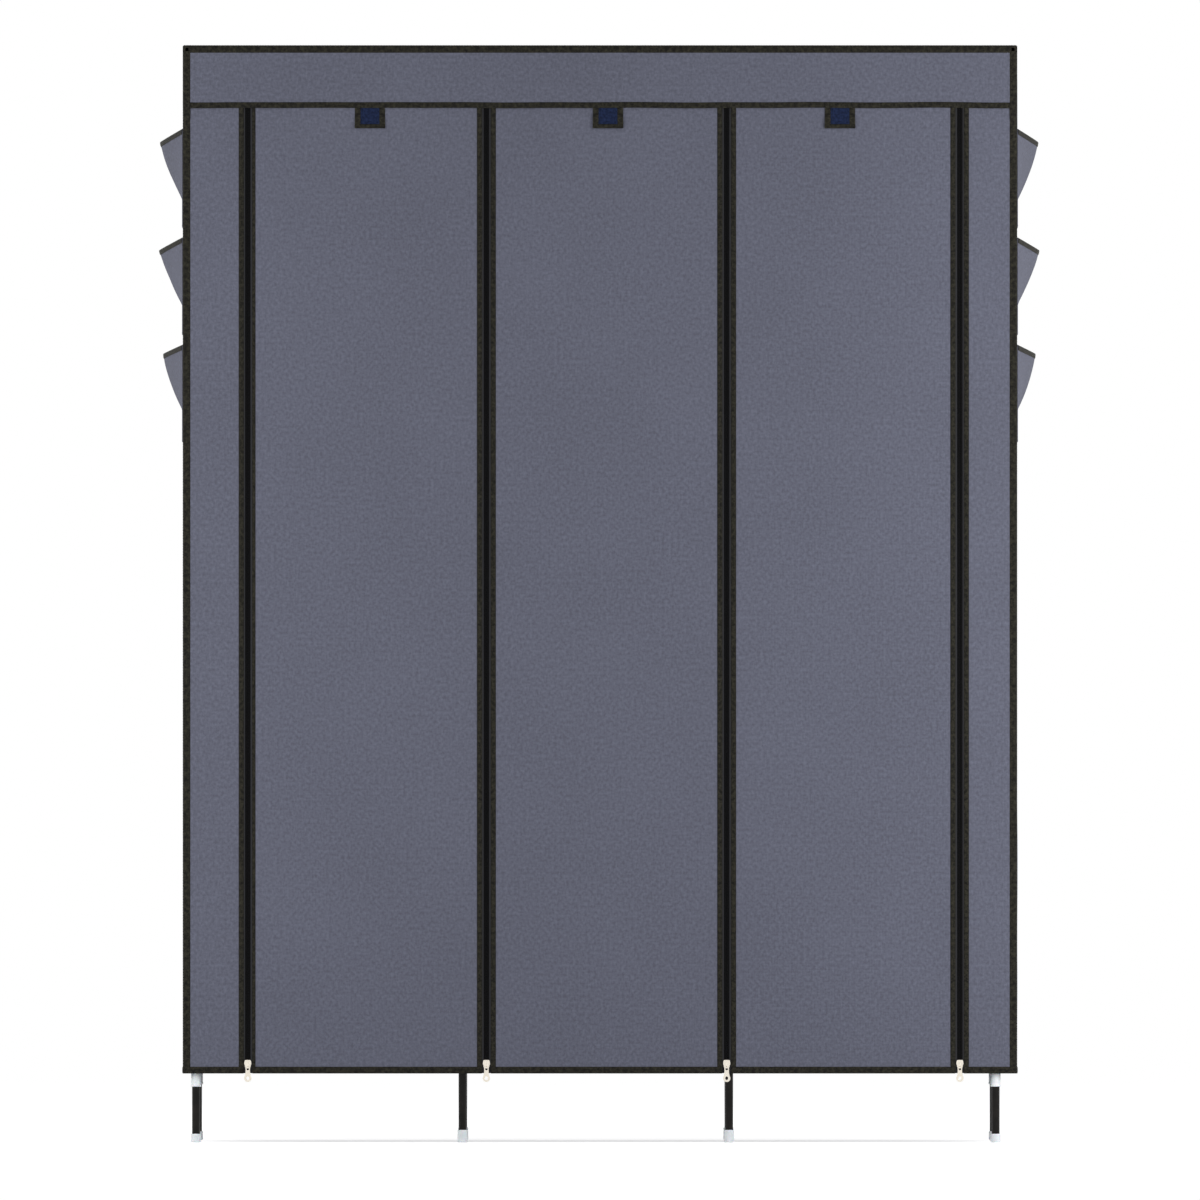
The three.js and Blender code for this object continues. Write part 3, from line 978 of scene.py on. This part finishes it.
def make_pocket(side_name, side, index):
    """A pocket with its bound mouth and the stitches along its lower seam."""
    node = f"pocket_{side_name}_{index + 1}"
    low, high = span(node)
    surface = pocket_surface(side, node, POCKET_BULGE[side_name][index], index)
    across = steps(low.y, high.y, POCKET_CELL)
    cells = flat_sheet(low.y, high.y, steps(low.z, high.z, POCKET_CELL), POCKET_CELL)
    cloth = cloth_piece(f"{node}_cloth", placed(cells, surface), (side, 0, 0), (node,))
    mouth = bound_edge(POCKET_TAPE, across, lambda a, n, s: surface(s, n, high.z - a))
    seam = stitch_row(POCKET_SEAM, POCKET_SEAM_OUT, low.y, high.y)
    placed(seam, lambda a, n, s: surface(s, n, low.z + a))
    binding = tape_piece(f"{node}_binding", merged([mouth, seam]))


# Frame: tubes, connectors and feet


# Points of a round solid closer than this are one
SAME_POINT = 0.001


def spun(profile):
    """A round solid from a profile of radius and height that starts and ends on the axis."""
    bm = bmesh.new()
    verts = [bm.verts.new((radius, 0, height)) for radius, height in profile]
    edges = [bm.edges.new(pair) for pair in zip(verts, verts[1:])]
    geom = verts + edges
    about = {"cent": (0, 0, 0), "axis": (0, 0, 1), "angle": math.tau}
    bmesh.ops.spin(bm, geom=geom, steps=ROUND, use_merge=True, **about)
    bmesh.ops.remove_doubles(bm, verts=bm.verts, dist=SAME_POINT)
    return bm


def laid(bm, start, direction):
    """Turns a round solid from the Z axis to another direction and moves it to its start."""
    turn = Vector((0, 0, 1)).rotation_difference(Vector(direction)).to_matrix().to_4x4()
    bmesh.ops.transform(bm, matrix=Matrix.Translation(Vector(start)) @ turn, verts=bm.verts)
    return bm


def tube(start, end):
    """A tube between two points, with a small chamfer at each end."""
    start, end = Vector(start), Vector(end)
    length = (end - start).length
    mouth = TUBE - TUBE_CHAMFER
    first = [(0, 0), (mouth, 0), (TUBE, TUBE_CHAMFER)]
    last = [(TUBE, length - TUBE_CHAMFER), (mouth, length), (0, length)]
    return laid(spun(first + last), start, end - start)


def sleeve(start, direction, length):
    """A connector's round socket with a thicker rim at its mouth."""
    rim = length - SLEEVE_RIM_LENGTH
    bore = TUBE + SLEEVE_GAP
    floor = length - SLEEVE_BORE_DEPTH
    wall = [(0, 0), (SLEEVE, 0), (SLEEVE, rim - SLEEVE_RIM_SLOPE), (SLEEVE_RIM, rim)]
    edge = SLEEVE_CHAMFER
    mouth = [(SLEEVE_RIM, length - edge), (SLEEVE_RIM - edge, length), (bore, length)]
    return laid(spun(wall + mouth + [(bore, floor), (0, floor)]), start, direction)


def hub(point, radius=SLEEVE):
    """A small ball where tubes or tapes meet."""
    bm = bmesh.new()
    centre = Matrix.Translation(Vector(point))
    around, up = BALL_PARTS
    bmesh.ops.create_uvsphere(bm, u_segments=around, v_segments=up, radius=radius, matrix=centre)
    return bm


def make_connector(name, point, arms, middle=()):
    """A moulded connector: a socket for each tube, given as direction and length, round its middle."""
    sockets = [sleeve(point, direction, length) for direction, length in arms]
    solid_piece(name, merged([*middle, *sockets]), PLASTIC)


def make_side_connectors(name, ends, y, z, grip, arm):
    """A T connector at each end of a tube along the width, on another tube that runs along grip."""
    for tag, x, inward in zip(("left", "right"), ends, (1, -1)):
        arms = [(grip, RAIL_GRIP), ([-g for g in grip], RAIL_GRIP), ((inward, 0, 0), arm)]
        make_connector(f"{name}_{tag}", (x, y, z), arms)


def make_corners(index, x, row, y):
    """The lowest and the top connector on a post."""
    tag = f"{row}_{index + 1}"
    outer = index in (0, 3)
    arms = [((0, 1 if row == "front" else -1, 0), ARM)]
    if index > 0:
        arms.append(((-1, 0, 0), ARM))
    if index < 3:
        arms.append(((1, 0, 0), ARM))
    below = ((0, 0, -1), CORNER_SOCKET if outer else MIDDLE_SOCKET)
    for name, level, posts in (
        ("bottom", BOTTOM_LEVEL, [((0, 0, 1), POST_SOCKET), below]),
        ("top", TOP_LEVEL, [((0, 0, -1), POST_SOCKET)]),
    ):
        point = (x, y, level)
        make_connector(f"{name}_connector_{tag}", point, [*arms, *posts], [hub(point)])


def make_rails(name, node, level):
    """A level of tubes, along the width in both rows and along the depth at every post."""
    parts = []
    for _, y in ROWS:
        parts += [tube((a, y, level), (b, y, level)) for a, b in zip(COLUMNS, COLUMNS[1:])]
    parts += [tube((x, ROW_FRONT, level), (x, ROW_BACK, level)) for x in COLUMNS]
    solid_piece(name, merged(parts), POWDER_COAT, (node,))


POST_JOINT_SHARES = (0.155, 0.47, 0.785)
POST_END = 0.4
NECK = TUBE - 0.45
ROLLED = TUBE + 0.12
POST_JOINT = ((TUBE, -1.2), (NECK, -0.7), (NECK, 0), (ROLLED, 0.05), (ROLLED, 1.5), (TUBE, 2.2))


def make_post(tag, x, y):
    """A post of short tubes: at each joint the upper tube's rolled end meets a narrow neck."""
    node = f"post_{tag}"
    low, high = span(node)
    profile = [(0, low.z), (TUBE - POST_END, low.z), (TUBE, low.z + POST_END)]
    for share in POST_JOINT_SHARES:
        joint = BOTTOM_LEVEL + share * (TOP_LEVEL - BOTTOM_LEVEL)
        profile += [(radius, joint + above) for radius, above in POST_JOINT]
    profile += [(TUBE, high.z - POST_END), (TUBE - POST_END, high.z), (0, high.z)]
    post = laid(spun(profile), (x, y, 0), (0, 0, 1))
    solid_piece(f"tube_{node}", post, POWDER_COAT, (node,))


FOOT = 8.0
FOOT_BORE = 6.5
FOOT_FLOOR = 2.8


def make_foot(tag, x, y):
    """A moulded cap pushed on the tube's end: rounded foot, slight taper and a bead at its mouth."""
    node = f"foot_{tag}"
    high = span(node)[1].z
    sole = [(0, 0), (FOOT - 1.8, 0), (FOOT - 0.6, 0.5), (FOOT, 1.8), (FOOT - 0.25, high - 2.6)]
    bead = [(FOOT, high - 2.0), (FOOT, high - 0.6), (FOOT - 0.6, high)]
    profile = sole + bead + [(FOOT_BORE, high), (FOOT_BORE, FOOT_FLOOR), (0, FOOT_FLOOR)]
    foot = laid(spun(profile), (x, y, 0), (0, 0, 1))
    solid_piece(f"cap_{node}", foot, PLASTIC, (node,))


RAIL_GRIP = 15.0
RAIL_ARM = 22.0
SHELF_ARM = 24.0


def make_hanging_rail(name, left, right):
    """A clothes rail between two depth tubes, held by a T connector at each end."""
    node = f"hanging_rail_{name}"
    low, high = span(node)
    y = (low.y + high.y) / 2
    rail = tube((low.x, y, TOP_LEVEL), (high.x, y, TOP_LEVEL))
    solid_piece(f"tube_{node}", rail, POWDER_COAT, (node,))
    make_side_connectors(f"{node}_socket", (left, right), y, TOP_LEVEL, (0, 1, 0), RAIL_ARM)


def make_frame():
    for row, y in ROWS:
        for index, x in enumerate(COLUMNS):
            make_corners(index, x, row, y)
            make_post(f"{row}_{index + 1}", x, y)
            make_foot(f"{row}_{index + 1}", x, y)
    make_rails("bottom_rails", "bottom_rail_frame", BOTTOM_LEVEL)
    make_rails("top_rails", "top_rail_frame", TOP_LEVEL)
    make_hanging_rail("left", COLUMNS[0], COLUMNS[1])
    make_hanging_rail("right", COLUMNS[2], COLUMNS[3])


# Decks: cloth shelves and floor, sleeved on tubes along the width


DECK_SLEEVE = TUBE + 0.8
DECK_CLEAR = ARM + 2
BAND_REACH = 35.0
BAND_FROM_ROW = 9.5
BAND_ABOVE = TUBE + 1.9
BAND_LIFT = 1.2
BAND_TOP_HALF = 6.0
BAND_SLOPE = 8.0
BAND_LIFTED = 20.0
BAND_LIFT_END = 12.0
BAND_CELLS = (5.0, 8.0)


def along_depth(y):
    """The share of the way from the front row to the back row."""
    return (y - ROW_FRONT) / (ROW_BACK - ROW_FRONT)


def deck_section():
    """A deck in section: a sleeve round the front tube, the slack cloth, a sleeve round the back tube."""
    turns = 10
    rings = []
    for row, start, sweep in ((ROW_FRONT, -45, -225), (ROW_BACK, -135, 225)):
        angles = [math.radians(start + sweep * i / turns) for i in range(turns + 1)]
        rings.append([(row + DECK_SLEEVE * math.cos(a), DECK_SLEEVE * math.sin(a)) for a in angles])
    deck = []
    for y in steps(ROW_FRONT, ROW_BACK, DECK_CELL)[1:-1]:
        share = along_depth(y)
        deck.append((y, DECK_SLEEVE - DECK_SAG * 4 * share * (1 - share)))
    return rings[0] + deck + rings[1][::-1]


def make_deck(name, level, left, right, rests_on, nodes=(), held_end=0.0):
    """A cloth shelf or floor. held_end is how far from a held end the cloth begins to sag."""
    section = deck_section()

    def place(y, out, x):
        inside = fade(min(y - ROW_FRONT, ROW_BACK - y), CALM)
        if inside > 0 and held_end:
            share = along_depth(y)
            end = fade(min(x - left, right - x), held_end)
            slack_here = out > 0 or abs(share - 0.5) < DECK_SLACK_SHARE
            out += (1 - end) * DECK_SAG * 4 * share * (1 - share) * slack_here
        ripple = DECK_RIPPLE * inside * noise.noise(Vector((x / DECK_WAVE, y / DECK_WAVE, level)))
        return Vector((x, y, level + out + ripple))

    cells = flat_strip(section, steps(left, right, CELL))
    cloth = cloth_piece(name, placed(cells, place), (0, 0, 1), nodes)


def make_floor_band(number, column):
    """A band of cloth over a depth tube, lapped over the floor cloth on each side."""
    left = column if number == 1 else column - BAND_REACH
    right = column if number == 4 else column + BAND_REACH
    front, back = ROW_FRONT + BAND_FROM_ROW, ROW_BACK - BAND_FROM_ROW

    def place(x, out, y):
        over = 1 - fade(abs(x - column) - BAND_TOP_HALF, BAND_SLOPE)
        near_row = 1 - fade(min(y - front, back - y) - BAND_LIFTED, BAND_LIFT_END)
        return Vector((x, y, BOTTOM_LEVEL + BAND_ABOVE + out + BAND_LIFT * over * near_row))

    cells = flat_sheet(left, right, steps(front, back, BAND_CELLS[1]), BAND_CELLS[0])
    band = cloth_piece(f"cloth_floor_band_{number}", placed(cells, place), (0, 0, 1))


def make_shelf(node, level):
    """A middle shelf: its two tubes, its cloth, and a connector at each end of each tube."""
    left, right = COLUMNS[1], COLUMNS[2]
    tubes = [tube((left, y, level), (right, y, level)) for _, y in ROWS]
    solid_piece(f"{node}_tubes", merged(tubes), POWDER_COAT)
    make_deck(f"{node}_cloth", level, left + DECK_CLEAR, right - DECK_CLEAR, f"{node}_tubes", (node,))
    for row, y in ROWS:
        make_side_connectors(f"{node}_socket_{row}", (left, right), y, level, (0, 0, 1), SHELF_ARM)


def make_decks():
    for name, left, right in zip(DOORS, COLUMNS, COLUMNS[1:]):
        ends = left + DECK_CLEAR, right - DECK_CLEAR
        make_deck(f"cloth_floor_{name}", BOTTOM_LEVEL, *ends, "bottom_rails", held_end=FLOOR_HELD_END)
    for number, column in enumerate(COLUMNS, 1):
        make_floor_band(number, column)
    for node, level in SHELVES.items():
        make_shelf(node, level)


# Sliders and pulls


def smooth_loop(points, parts=4):
    """A closed curve through the points of an outline."""
    made = []
    count = len(points)
    for i in range(count):
        a, b, c, d = [Vector(points[(i + k) % count]) for k in (-1, 0, 1, 2)]
        for step in range(parts):
            t = step / parts
            bend = (2 * a - 5 * b + 4 * c - d) * t * t + (3 * b - a - 3 * c + d) * t * t * t
            made.append(0.5 * (2 * b + (c - a) * t + bend))
    return [(p.x, p.y) for p in made]


def mirrored(side):
    """An outline from its right side, run from one end to the other."""
    return [*side, *[(-a, b) for a, b in reversed(side)]]


def oval(half_width, half_height, centre_z, count=28):
    """Outline points of an oval."""
    turns = [math.tau * i / count for i in range(count)]
    return [(half_width * math.cos(t), centre_z + half_height * math.sin(t)) for t in turns]


def plate(points, front, back):
    """A flat plate with an outline in X and Z, from one depth to another along Y."""
    bm = bmesh.new()
    face = bm.faces.new([bm.verts.new((x, front, z)) for x, z in points])
    pushed = bmesh.ops.extrude_face_region(bm, geom=[face])["geom"]
    moved = [g for g in pushed if isinstance(g, bmesh.types.BMVert)]
    bmesh.ops.translate(bm, verts=moved, vec=(0, back - front, 0))
    bmesh.ops.recalc_face_normals(bm, faces=bm.faces)
    return bm


def cut(bm, cutters):
    """bm with each cutter taken out of it."""
    held = []
    for index, part in enumerate([bm, *cutters]):
        mesh = bpy.data.meshes.new(f"cutting_{index}")
        part.to_mesh(mesh)
        part.free()
        obj = bpy.data.objects.new(f"cutting_{index}", mesh)
        bpy.context.scene.collection.objects.link(obj)
        held.append(obj)
    for cutter in held[1:]:
        modifier = held[0].modifiers.new("cut", "BOOLEAN")
        modifier.operation = "DIFFERENCE"
        modifier.object = cutter
        modifier.solver = "EXACT"
    graph = bpy.context.evaluated_depsgraph_get()
    result = bmesh.new()
    result.from_mesh(held[0].evaluated_get(graph).to_mesh())
    for obj in held:
        bpy.data.meshes.remove(obj.data)
    return result


EDGE_PARTS = 2
EDGE_ANGLE = math.radians(40)


def metal_piece(name, bm, node, body, edge):
    """A finished piece of plated metal with rounded edges."""
    obj = solid_piece(name, bm, NICKEL, (node,), body)
    modifier = obj.modifiers.new("edges", "BEVEL")
    modifier.width = edge * MM
    modifier.segments = EDGE_PARTS
    modifier.limit_method = "ANGLE"
    modifier.angle_limit = EDGE_ANGLE
    modifier.harden_normals = True


def hinge_place(number):
    """The middle of a pull's hinge, in millimetres."""
    joint = next(j for j in frame["joints"] if j["name"] == f"zipper_pull_hinge_{number}")
    return Vector(joint["pos_m"]) / MM


PULL_LENGTH = 22.7
PULL_RING = 5.75
PULL_HALF = 0.6
PULL_EDGE = 0.28
PULL_WINDOW = (1.95, 1.7, -2.6)
PULL_GRIP = (2.2, 2.8)
PULL_GRIP_UP = 0.2
PULL_SHOULDER_SHARES = (0.84, 0.6)
PULL_ARC = range(10, -90, -25)
PULL_NECK = ((1.6, 0.95), (3.3, 0.7), (3.65, -0.6), (3.45, -4.5), (3.75, -9.0))


def make_pull(number):
    """The pull tab: a neck with a hole for the crown, and a ring end with an oval grip hole."""
    ring_z = PULL_RING - PULL_LENGTH
    shoulder = (PULL_SHOULDER_SHARES[0] * PULL_RING, ring_z + PULL_SHOULDER_SHARES[1] * PULL_RING)
    arc = [math.radians(a) for a in PULL_ARC]
    end = [(PULL_RING * math.cos(a), ring_z + PULL_RING * math.sin(a)) for a in arc]
    side = [*PULL_NECK, shoulder, *end]
    tip = [(0.0, ring_z - PULL_RING)]
    outline = side + tip + [(-a, b) for a, b in reversed(side)]
    body = plate(smooth_loop(outline), -PULL_HALF, PULL_HALF)
    window = plate(oval(*PULL_WINDOW), -2 * PULL_HALF, 2 * PULL_HALF)
    grip = plate(oval(*PULL_GRIP, ring_z + PULL_GRIP_UP), -2 * PULL_HALF, 2 * PULL_HALF)
    bm = cut(body, [window, grip])
    bmesh.ops.translate(bm, verts=bm.verts, vec=hinge_place(number))
    metal_piece(f"pull_tab_{number}", bm, f"zipper_pull_{number}", f"zipper_pull_{number}", PULL_EDGE)


# The slider's outlines are shares of its half width and its height. Depths are from the cloth's middle.
SLIDER_HALF = 5.4
SLIDER_BAR_HALF = 1.15
SLIDER_BAR_OUT = 0.65
SLIDER_FACE_IN = 1.35
SLIDER_EDGE = 0.3
SLIDER_SIDE_SHARES = ((0.64, -0.02), (0.86, 0.26), (1.0, 0.5), (0.98, 0.74), (0.84, 0.93), (0.6, 1.0))
SLIDER_BAR_SHARES = ((0.9, 0.02), (1.0, 0.4), (0.8, 0.62))
SLIDER_LIP_SHARES = ((0.87, 0.3), (1.0, 0.42), (1.0, 0.56), (0.9, 0.76), (0.86, 0.74))
FRONT_PLATE_BACK = -1.32
BACK_PLATE_FRONT = 0.85
FRONT_LIP = (-1.4, -0.1)
BACK_LIP = (0.5, 0.9)
CROWN_HALF = 0.8
CROWN_INNER = 1.15
CROWN_OUTER = 1.95
CROWN_TURN = math.radians(270)
CROWN_STEPS = 14


def crown(y, z):
    """The crown: a small strap arched over the pull's bar, with its foot further up the slider."""
    bm = bmesh.new()
    pairs = ((-1, CROWN_INNER), (1, CROWN_INNER), (1, CROWN_OUTER), (-1, CROWN_OUTER))
    start = bm.faces.new([bm.verts.new((side * CROWN_HALF, out, 0)) for side, out in pairs])
    about = {"cent": (0, 0, 0), "axis": (1, 0, 0), "angle": -CROWN_TURN}
    bmesh.ops.spin(bm, geom=[start], steps=CROWN_STEPS, **about)
    bmesh.ops.translate(bm, verts=bm.verts, vec=(0, y, z))
    return bm


def make_slider(number):
    """The slider: a front plate with a raised bar and a back plate, whose sides turn in to the tape.
    The coil is drawn closed all along, so the wedge inside that would part it is left out."""
    node = f"zipper_slider_{number}"
    x, axis_y, low = hinge_place(number)
    high, back = span(node)[1].z, span(node)[1].y
    face = axis_y + SLIDER_FACE_IN

    def outline(shares, width):
        return [(width * a, low + (high - low) * b) for a, b in shares]

    body = smooth_loop(outline(mirrored(SLIDER_SIDE_SHARES), SLIDER_HALF))
    bar = smooth_loop(outline(mirrored(SLIDER_BAR_SHARES), SLIDER_BAR_HALF))
    parts = [
        plate(bar, face - SLIDER_BAR_OUT, face + SLIDER_BAR_OUT),
        plate(body, face, FRONT + FRONT_PLATE_BACK),
        plate(body, FRONT + BACK_PLATE_FRONT, back),
        crown(axis_y, low),
    ]
    for side in (-1, 1):
        lip = outline(SLIDER_LIP_SHARES, side * SLIDER_HALF)
        parts += [plate(lip, FRONT + near, FRONT + far) for near, far in (FRONT_LIP, BACK_LIP)]
    whole = merged(parts)
    bmesh.ops.translate(whole, verts=whole.verts, vec=(x, 0, 0))
    metal_piece(f"slider_body_{number}", whole, node, node, SLIDER_EDGE)


# Build


for door, seed in zip(DOORS, (11.0, 14.5, 17.2)):
    make_door(door, seed)
for name, side in SIDES:
    make_side(f"side_panel_{name}", side, ZIPS[0] if side < 0 else ZIPS[3])
make_back()
make_valance()
for number, share in enumerate(STRAP_SHARES, 1):
    make_strap(number, share)
make_cover_bindings()
for side_name, side in SIDES:
    for index in range(3):
        make_pocket(side_name, side, index)
make_frame()
make_roof()
make_decks()
for number in range(1, 5):
    make_slider(number)
    make_pull(number)


# Stage: camera, light and floor. Places of the lamps are in metres.


FRAME_WIDTH = 1870.5
FRAME_MIDDLE_Z = 845.6
CAMERA_DISTANCE = 85000.0
SENSOR = 36.0
ROOM_LIGHT = 0.43
FLOOR_SHADE = 0.9
FLOOR_GLOW = 1 - FLOOR_SHADE * ROOM_LIGHT
FLOOR_HALF = 60.0
WHITE = (1, 1, 1, 1)


def make_camera():
    """A level camera far off, square to the front, as in a catalogue picture."""
    data = bpy.data.cameras.new("camera")
    data.sensor_width = SENSOR
    data.lens = SENSOR * CAMERA_DISTANCE / FRAME_WIDTH
    data.clip_end = 2 * CAMERA_DISTANCE * MM
    camera = bpy.data.objects.new("camera", data)
    camera.location = metres(0, FRONT - CAMERA_DISTANCE, FRAME_MIDDLE_Z)
    camera.rotation_euler = (math.radians(90), 0, 0)
    bpy.context.scene.collection.objects.link(camera)
    bpy.context.scene.camera = camera


def make_lamp(name, place, target, width, height, watts):
    """A soft rectangular lamp that the camera doesn't see."""
    data = bpy.data.lights.new(name, "AREA")
    data.shape = "RECTANGLE"
    data.size = width
    data.size_y = height
    data.energy = watts
    lamp = bpy.data.objects.new(name, data)
    lamp.location = place
    lamp.rotation_euler = (Vector(target) - Vector(place)).to_track_quat("-Z", "Y").to_euler()
    lamp.visible_camera = False
    bpy.context.scene.collection.objects.link(lamp)


def seen_rays(tree):
    """1 where the camera, a reflection or clear plastic sees the surface, 0 where it only gives light."""
    path = add_node(tree, "ShaderNodeLightPath")
    near = {0: path.outputs["Is Camera Ray"], 1: path.outputs["Is Glossy Ray"]}
    either = add_node(tree, "ShaderNodeMath", near, operation="MAXIMUM")
    every = {0: either.outputs[0], 1: path.outputs["Is Transmission Ray"]}
    return add_node(tree, "ShaderNodeMath", every, operation="MAXIMUM").outputs[0]


def make_light():
    """Soft light from both front sides and from behind, in an even room that looks white."""
    for side, watts in ((-1, 12.5), (1, 17.5)):
        make_lamp(f"key_{side}", (side * 1.42, -1.15, 1.12), (0, 0, 1.12), 0.9, 2.2, watts)
        make_lamp(f"rear_{side}", (side * 4.0, 4.4, 3.2), (0, 0, 0.9), 2.6, 2.6, 45)
    world = bpy.data.worlds.new("world")
    bpy.context.scene.world = world
    world.use_nodes = True
    tree = world.node_tree
    room = tree.nodes["Background"]
    set_inputs(tree, room, {"Color": WHITE, "Strength": ROOM_LIGHT})
    white = add_node(tree, "ShaderNodeBackground", {"Color": WHITE, "Strength": 1.0})
    both = {0: seen_rays(tree), 1: room.outputs[0], 2: white.outputs[0]}
    mix = add_node(tree, "ShaderNodeMixShader", both)
    set_inputs(tree, tree.nodes["World Output"], {"Surface": mix.outputs[0]})


def make_floor():
    """A pale floor that takes the object's shadow. Its glow, which gives no light, makes it look white."""
    made = bpy.data.materials.new("studio_floor")
    made.use_nodes = True
    tree = made.node_tree
    matt = add_node(tree, "ShaderNodeBsdfDiffuse", {"Color": (FLOOR_SHADE, FLOOR_SHADE, FLOOR_SHADE, 1)})
    level = add_node(tree, "ShaderNodeMath", {0: seen_rays(tree), 1: FLOOR_GLOW}, operation="MULTIPLY")
    glow = add_node(tree, "ShaderNodeEmission", {"Color": WHITE, "Strength": level.outputs[0]})
    both = add_node(tree, "ShaderNodeAddShader", {0: matt.outputs[0], 1: glow.outputs[0]})
    set_inputs(tree, tree.nodes["Material Output"], {"Surface": both.outputs[0]})
    bm = bmesh.new()
    bmesh.ops.create_grid(bm, x_segments=1, y_segments=1, size=FLOOR_HALF)
    mesh = bpy.data.meshes.new("floor")
    bm.to_mesh(mesh)
    bm.free()
    mesh.materials.append(made)
    floor = bpy.data.objects.new("floor", mesh)
    bpy.context.scene.collection.objects.link(floor)


make_camera()
make_light()
make_floor()
bpy.context.scene.view_settings.view_transform = "Standard"
